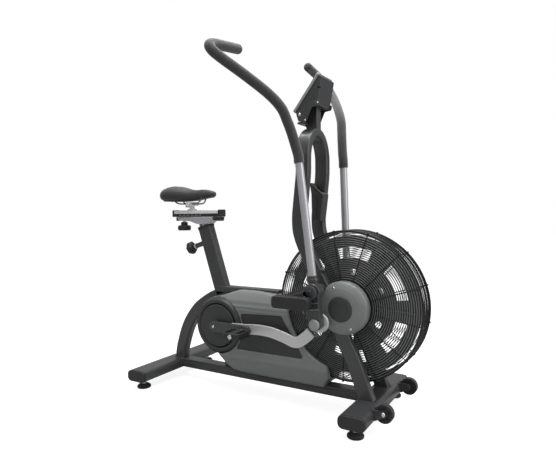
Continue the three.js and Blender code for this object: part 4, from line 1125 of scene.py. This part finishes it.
def saddle_hardware():
    clamp = [
        box_slab(SADDLE_X - 18, SADDLE_X + 18, -16, 16, 4, "z", RAIL_Z1 - 0.5, RAIL_Z1 + 6, 1.5),
        disc(12.5, RAIL_Z1 + 4, 850, "z", (SADDLE_X, 0), 48, 2),
        box_slab(SADDLE_X - 19, SADDLE_X + 19, 840, 848, 3.4, "y", -27, 27, 2),
        box_slab(SADDLE_X - 17, SADDLE_X + 17, 850, 858, 3.4, "y", -27, 27, 2),
        disc(7, -31, 31, "y", (SADDLE_X, 849), 32, 1),
        box_slab(SADDLE_X - 34, SADDLE_X - 10, 832, 842, 4, "y", -12, 12, 3),
    ]
    clamp += [disc(10, s * 28, s * 34, "y", (SADDLE_X, 849), 6, 1, 2) for s in (-1, 1)]
    piece("clamp", BRUSHED, clamp, "saddle_clamp", "seat_slider", "clamp_steel")
    wires = []
    for y in (-22, 22):
        line = [(-320, y * 1.5, 884), (-308, y * 1.4, 866), (-290, y * 1.2, 853), (-262, y, 849),
                (-190, y, 849), (-168, y, 853), (-153, y * 0.8, 866), (-146, y * 0.6, 886)]
        wires.append(sweep(spline(line), circle(3.6, 16), domes=(3, 3)))
    piece("saddle_wires", WIRE, wires, "saddle_clamp", "seat_slider", "clamp_steel")


# Each station of the saddle is x, half width, top and underside.
SADDLE_STATIONS = [
    (-382, 25, 904, 882), (-378, 55, 917, 872), (-364, 77, 928, 866), (-338, 86, 935, 863),
    (-305, 83, 936, 863), (-270, 70, 929, 864), (-232, 51, 920, 865), (-195, 37, 916, 866),
    (-152, 29, 915, 872), (-115, 26, 914, 878), (-96, 23, 912, 879), (-84, 20, 911, 881),
    (-78, 14, 907, 885),
]


def saddle_ring(x, half, top, under, sides=56):
    """A full rounded crown over a tucked-in underside, with a shallow channel down the middle."""
    ring = []
    waist = under + (top - under) * 0.36
    for k in range(sides):
        a = 2 * math.pi * k / sides
        c, s = math.cos(a), math.sin(a)
        y = half * math.copysign(abs(c) ** 0.8, c)
        if s >= 0:
            z = waist + (top - waist) * s ** 0.8
        else:
            z = waist + (waist - under) * max(-1.0, 1.35 * s)
        dip = 2.4 * math.exp(-(y / 11) ** 2) if s > 0.6 and x < -170 else 0.0
        ring.append((x, y, z - dip))
    return ring


def keep_shape(obj):
    """Makes the shape that the modifiers give the piece's own mesh."""
    graph = bpy.context.evaluated_depsgraph_get()
    mesh = bpy.data.meshes.new_from_object(obj.evaluated_get(graph))
    obj.modifiers.clear()
    obj.data = mesh


def inflate(obj, reach):
    """Swells a piece as padded fabric by cloth simulation, moving no point beyond reach."""
    obj.modifiers.clear()
    remesh = obj.modifiers.new("even_skin", "REMESH")
    remesh.mode = "VOXEL"
    remesh.voxel_size = 0.005
    keep_shape(obj)
    start = [v.co.copy() for v in obj.data.vertices]
    settings = obj.modifiers.new("padding", "CLOTH").settings
    settings.use_pressure = True
    settings.uniform_pressure_force = 4
    settings.quality = 5
    settings.effector_weights.gravity = 0
    for number in range(1, 21):
        bpy.context.scene.frame_set(number)
    keep_shape(obj)
    for vert, home in zip(obj.data.vertices, start):
        move = vert.co - home
        if move.length > reach:
            vert.co = home + move * (reach / move.length)
    bpy.context.scene.frame_set(1)


def saddle():
    stations = spline([(x, half, top) for x, half, top, _ in SADDLE_STATIONS], 4)
    unders = spline([(x, under) for x, _, _, under in SADDLE_STATIONS], 4)
    rows = [(p.x, p.y, p.z, q.y) for p, q in zip(stations, unders)]
    rings = [saddle_ring(x, half - 2, top - 2, under + 2) for x, half, top, under in rows]
    pad = piece("saddle_pad", VINYL, [(rings, False)], "saddle", "seat_slider")
    inflate(pad, 0.004)
    pad.data.shade_smooth()
    relax = pad.modifiers.new("relax", "SMOOTH")
    relax.iterations = 6
    relax.factor = 0.5
    fine = pad.modifiers.new("fine_skin", "SUBSURF")
    fine.levels = 1
    fine.render_levels = 1
    under_pad = rows[10:-8]
    edge = [(x, half * 0.70) for x, half, _, _ in under_pad]
    sheet, _ = slab(edge + [(x, -y) for x, y in reversed(edge)], "z", 0, 1, 0.3)

    def hung(x, y, z):
        """A point of the flat pan, hung just under the pad."""
        nearest = min(under_pad, key=lambda row: abs(row[0] - x))
        return x, y, nearest[3] - 1.5 + z * 4

    pan = [[hung(*point) for point in ring] for ring in sheet]
    piece("saddle_pan", MOULDED, [(pan, False)], "saddle", "seat_slider", "saddle_vinyl")


def knobs():
    slide = (KNOB_X, 0)
    rim = fillet([(0, 720), (28, 720), (31.6, 724), (31.6, 740), (28, 744.5), (16.5, 745.5), (16.5, 760),
                  (0, 760)], 2, 4, closed=False)
    piece("slide_grip", MOULDED, [lathe(rim, "z", slide, 120, lobes=(24, 0.025, 27))], "slide_knob",
          "slide_lock", "knob_plastic")
    screw = [disc(6, 758, 779, "z", slide, 32, 0.6), disc(11, 760.4, 764, "z", slide, 32, 0.6)]
    piece("slide_screw", PLATED, screw, body="slide_lock")
    back = TUBE_BACK
    head = fillet([(0, back - 69), (20, back - 70), (31.5, back - 77), (31.5, back - 91), (25, back - 98),
                   (10, back - 98.6), (0, back - 99)], 4, 5, closed=False)
    piece("height_grip", MOULDED, [lathe(head, "x", PIN, 120, lobes=(7, 0.08, 22))], "height_knob",
          "height_lock", "knob_plastic", matrix=RAKE)
    pin = [disc(5, back - 24, back + 11, "x", PIN, 32), disc(8, back - 69.5, back - 45, "x", PIN, 32),
           disc(14.5, back - 57, back - 51, "x", PIN, 48, 1.4)]
    piece("height_pin", PLATED, pin, body="height_lock", matrix=RAKE)
    piece("height_sleeve", POWDER, [disc(12, back - 47, back - 14.6, "x", PIN, 40, 1.4)], "height_knob",
          "height_lock", "knob_plastic", matrix=RAKE)


def seat():
    seat_post()
    seat_rail()
    saddle_hardware()
    saddle()
    knobs()


# ---------------------------------------------------------------- console and bottle holder

PANEL_LOW, PANEL_HIGH = (389, 1212), (497, 1350)
PANEL_LENGTH = math.dist(PANEL_LOW, PANEL_HIGH)
PANEL_TILT = math.atan2(PANEL_HIGH[1] - PANEL_LOW[1], PANEL_HIGH[0] - PANEL_LOW[0])
ON_PANEL = Matrix.Translation((PANEL_LOW[0], 0, PANEL_LOW[1])) @ Matrix.Rotation(-PANEL_TILT, 4, "Y")
BUTTON_ROW = (-32, 0, 32)


def on_glass(outline):
    """A thin mark on the display."""
    return slab(outline, "z", 11.1, 11.5, 0.1)


def zero(x, y, size):
    """A seven-bar 0, which has no middle bar. x is up and -y is across, as the rider sees it."""
    thick, wide = size * 0.13, size * 0.5
    bars = [(x + size, y, thick / 2, wide * 0.42), (x, y, thick / 2, wide * 0.42)]
    bars += [(x + size * up, y + wide * out, size * 0.22, thick / 2)
             for up in (0.75, 0.25) for out in (0.5, -0.5)]
    return [on_glass(rounded_rect(a - half_x, a + half_x, b - half_y, b + half_y, thick * 0.3, 2))
            for a, b, half_x, half_y in bars]


def console():
    outline = [PANEL_LOW, PANEL_HIGH, (508, 1343), (488, 1240), (488, 1232.4), (426, 1232.4),
               (414, 1172), (401, 1180)]
    case = slab(fillet(outline, [2, 2, 8, 10, 1, 2, 8, 8], 5), "y", -62, 62, 3, 4)
    housing = piece("console_case", TRIM, [case], "console_housing", slot="console_plastic")
    drill(housing, [box_slab(489, 501, 1297, 1303, 2, "y", y, y + 16, 0.2) for y in (-70, 54)])
    flange = fillet([(392, 1205), (402, 1174), (436, 1166), (464, 1226), (494, 1229), (498, 1250),
                     (450, 1252)], 7, 5)
    bracket = [slab(flange, "y", y, y + 3, 0.8) for y in (-63, 60)]
    bracket.append(box_slab(396, 426, 1163, 1172, 3, "y", -60, 60, 2))
    piece("console_bracket", POWDER, bracket, "console_housing")
    bolts = [bolt((x, side * 62.8, z), "y", radius, 3, facing=side) for side in (-1, 1)
             for x, z, radius in ((408, 1200.5, 6.5), (433, 1176, 4.2), (490, 1240, 4.2))]
    piece("console_bolts", PLATED, bolts)
    plate = piece("console_bezel", BEZEL, [box_slab(-4, PANEL_LENGTH + 4, -65, 65, 8, "z", 0.4, 12, 2.6, 4)],
                  "console_panel", slot="bezel_plastic", matrix=ON_PANEL)
    pockets = [box_slab(50, PANEL_LENGTH - 12, -52, 52, 4, "z", 8, 20, 0.2)]
    pockets += [disc(8.4, 6, 20, "z", (26, y), 40, 0.2) for y in BUTTON_ROW]
    drill(plate, pockets, matrix=ON_PANEL)
    lens = box_slab(50.4, PANEL_LENGTH - 12.4, -51.6, 51.6, 4, "z", 7.6, 10.9, 0.8)
    piece("console_lens", LENS, [lens], "console_screen", matrix=ON_PANEL)
    film = box_slab(60, PANEL_LENGTH - 21, -44, 44, 3, "z", 10.8, 11.15, 0.1)
    piece("console_display", LCD, [film], matrix=ON_PANEL)
    marks = []
    for row, size in ((68, 16), (94, 16), (120, 22)):
        for k in range(4):
            marks += zero(row, 30 - 20 * k, size)
    marks += [disc(1.3, 11.1, 11.5, "z", (x, 0), 12, 0.1) for x in (126, 136)]
    marks += [on_glass(rounded_rect(x - 0.5, x + 0.5, -41, 41, 0.4, 2)) for x in (89, 115)]
    piece("console_numerals", SEGMENTS, marks, matrix=ON_PANEL)
    key = fillet([(0, 8.2), (8, 8.2), (8, 12.6), (6.4, 13.9), (3, 13.4), (0, 13.2)], 0.8, 4, closed=False)
    for k, y in enumerate(BUTTON_ROW, 1):
        piece(f"key_{k}", BUTTON, [lathe(key, "z", (26, y), 48)], f"console_button_{k}", f"button_{k}",
              matrix=ON_PANEL)


def bottle_holder():
    outline = [(422, 767), (461, 764), (476, 877), (411, 931), (419, 880)]
    cup = slab(fillet(outline, [6, 6, 4, 4, 10], 5), "y", 14, MAST_INNER - 0.4, 4, 4)
    holder = piece("bottle_cup", TRIM, [cup], "bottle_holder", slot="holder_plastic")
    inside = fillet([(427, 772), (457, 770), (473, 965), (411, 965), (424, 880)], [5, 5, 0, 0, 10], 5)
    drill(holder, [slab(inside, "y", 18, MAST_INNER - 5, 4, 4),
                   box_slab(444, 451, 776, 868, 3, "y", 8, 16, 0.3)])
    screws = [bolt((440, MAST_INNER - 6, z), "y", 4, 3, facing=-1) for z in (800, 850)]
    piece("bottle_screws", PLATED, screws)


# ---------------------------------------------------------------- floor, light and camera


def camera_only(nodes, links, seen, unseen, kind):
    """Mixes two shaders: one that the camera sees and one that lights the object."""
    path = nodes.new("ShaderNodeLightPath")
    mix = nodes.new("ShaderNodeMixShader")
    links.new(path.outputs["Is Camera Ray"], mix.inputs[0])
    links.new(unseen, mix.inputs[1])
    links.new(seen, mix.inputs[2])
    links.new(mix.outputs[0], nodes[kind].inputs["Surface"])


def stage_floor():
    """Pale floor that reads as white paper but throws little light back up."""
    mesh = bpy.data.meshes.new("floor")
    reach = 14.0
    mesh.from_pydata([(-reach, -reach, 0), (reach, -reach, 0), (reach, reach, 0), (-reach, reach, 0)],
                     [], [(0, 1, 2, 3)])
    floor = bpy.data.objects.new("floor", mesh)
    bpy.context.scene.collection.objects.link(floor)
    paper = make_finish("pale_floor", (0.40, 0.40, 0.40), 0.85, grain=40.0, depth=0.0, mottle=0.01,
                        wear=0.0)
    mesh.materials.append(paper)
    nodes, links = paper.node_tree.nodes, paper.node_tree.links
    surface = nodes["Principled BSDF"]
    surface.inputs["Specular IOR Level"].default_value = 0.1
    glow = nodes.new("ShaderNodeEmission")
    glow.inputs["Strength"].default_value = 0.84
    both = nodes.new("ShaderNodeAddShader")
    links.new(surface.outputs[0], both.inputs[0])
    links.new(glow.outputs[0], both.inputs[1])
    camera_only(nodes, links, both.outputs[0], surface.outputs[0], "Material Output")


def area_light(name, at, aim, size, power):
    data = bpy.data.lights.new(name, "AREA")
    data.shape = "RECTANGLE"
    data.size, data.size_y = size
    data.energy = power
    light = bpy.data.objects.new(name, data)
    bpy.context.scene.collection.objects.link(light)
    light.location = at
    light.rotation_euler = (Vector(aim) - Vector(at)).to_track_quat("-Z", "Y").to_euler()


def stage_world():
    """White to the camera. For the object it is a soft sky, bright overhead and dim at eye level."""
    world = bpy.data.worlds.new("studio")
    bpy.context.scene.world = world
    world.use_nodes = True
    nodes, links = world.node_tree.nodes, world.node_tree.links
    plain = nodes["Background"]
    plain.inputs["Color"].default_value = (1, 1, 1, 1)
    sky = nodes.new("ShaderNodeBackground")
    place = nodes.new("ShaderNodeTexCoord")
    parts = nodes.new("ShaderNodeSeparateXYZ")
    links.new(place.outputs["Generated"], parts.inputs[0])
    ramp = nodes.new("ShaderNodeMapRange")
    ramp.inputs["From Min"].default_value = -0.1
    ramp.inputs["From Max"].default_value = 0.9
    ramp.inputs["To Min"].default_value = 0.26
    ramp.inputs["To Max"].default_value = 0.85
    links.new(parts.outputs["Z"], ramp.inputs["Value"])
    links.new(ramp.outputs[0], sky.inputs["Strength"])
    camera_only(nodes, links, plain.outputs[0], sky.outputs[0], "World Output")


def stage_light():
    area_light("overhead", (0.1, 0.1, 3.4), (0, 0, 0.5), (2.2, 2.2), 105)
    area_light("front_side", (3.2, 0.2, 1.9), (0, 0, 0.7), (1.6, 2.4), 42)
    area_light("near_side", (-0.6, -3.6, 2.6), (0, 0, 0.6), (3.0, 1.0), 9)
    stage_world()
    bpy.context.scene.view_settings.view_transform = "Standard"


CAMERA_AT = Vector((1.08515, -1.8255, 0.7995))
CAMERA_YAW, CAMERA_PITCH, CAMERA_ROLL = 0.5354, 0.0324, -0.0102
CAMERA_LENS = 31.44


def stage_camera():
    """Looks from the front right, a little above the seat rail."""
    yaw, pitch, roll = CAMERA_YAW, CAMERA_PITCH, CAMERA_ROLL
    back = Vector((math.sin(yaw) * math.cos(pitch), -math.cos(yaw) * math.cos(pitch), math.sin(pitch)))
    right = Vector((math.cos(yaw), math.sin(yaw), 0))
    up = back.cross(right)
    level = math.cos(roll) * right + math.sin(roll) * up
    upright = math.cos(roll) * up - math.sin(roll) * right
    data = bpy.data.cameras.new("main_view")
    data.sensor_width = 36
    data.lens = CAMERA_LENS
    camera = bpy.data.objects.new("main_view", data)
    bpy.context.scene.collection.objects.link(camera)
    camera.matrix_world = Matrix.Translation(CAMERA_AT) @ Matrix((level, upright, back)).transposed().to_4x4()
    bpy.context.scene.camera = camera


floor_bars()
main_beam()
rear_leg()
seat_tube()
top_tube()
mast()
console_post()
bearings_and_axles()
welds()
caps_and_feet()
transport_wheels()
drive_cover()
fan_guard()
fan_plate()
fan_vanes()
belt_drive()
crank_and_pedals()
levers()
seat()
console()
bottle_holder()
stage_floor()
stage_light()
stage_camera()

bpy.context.view_layer.update()
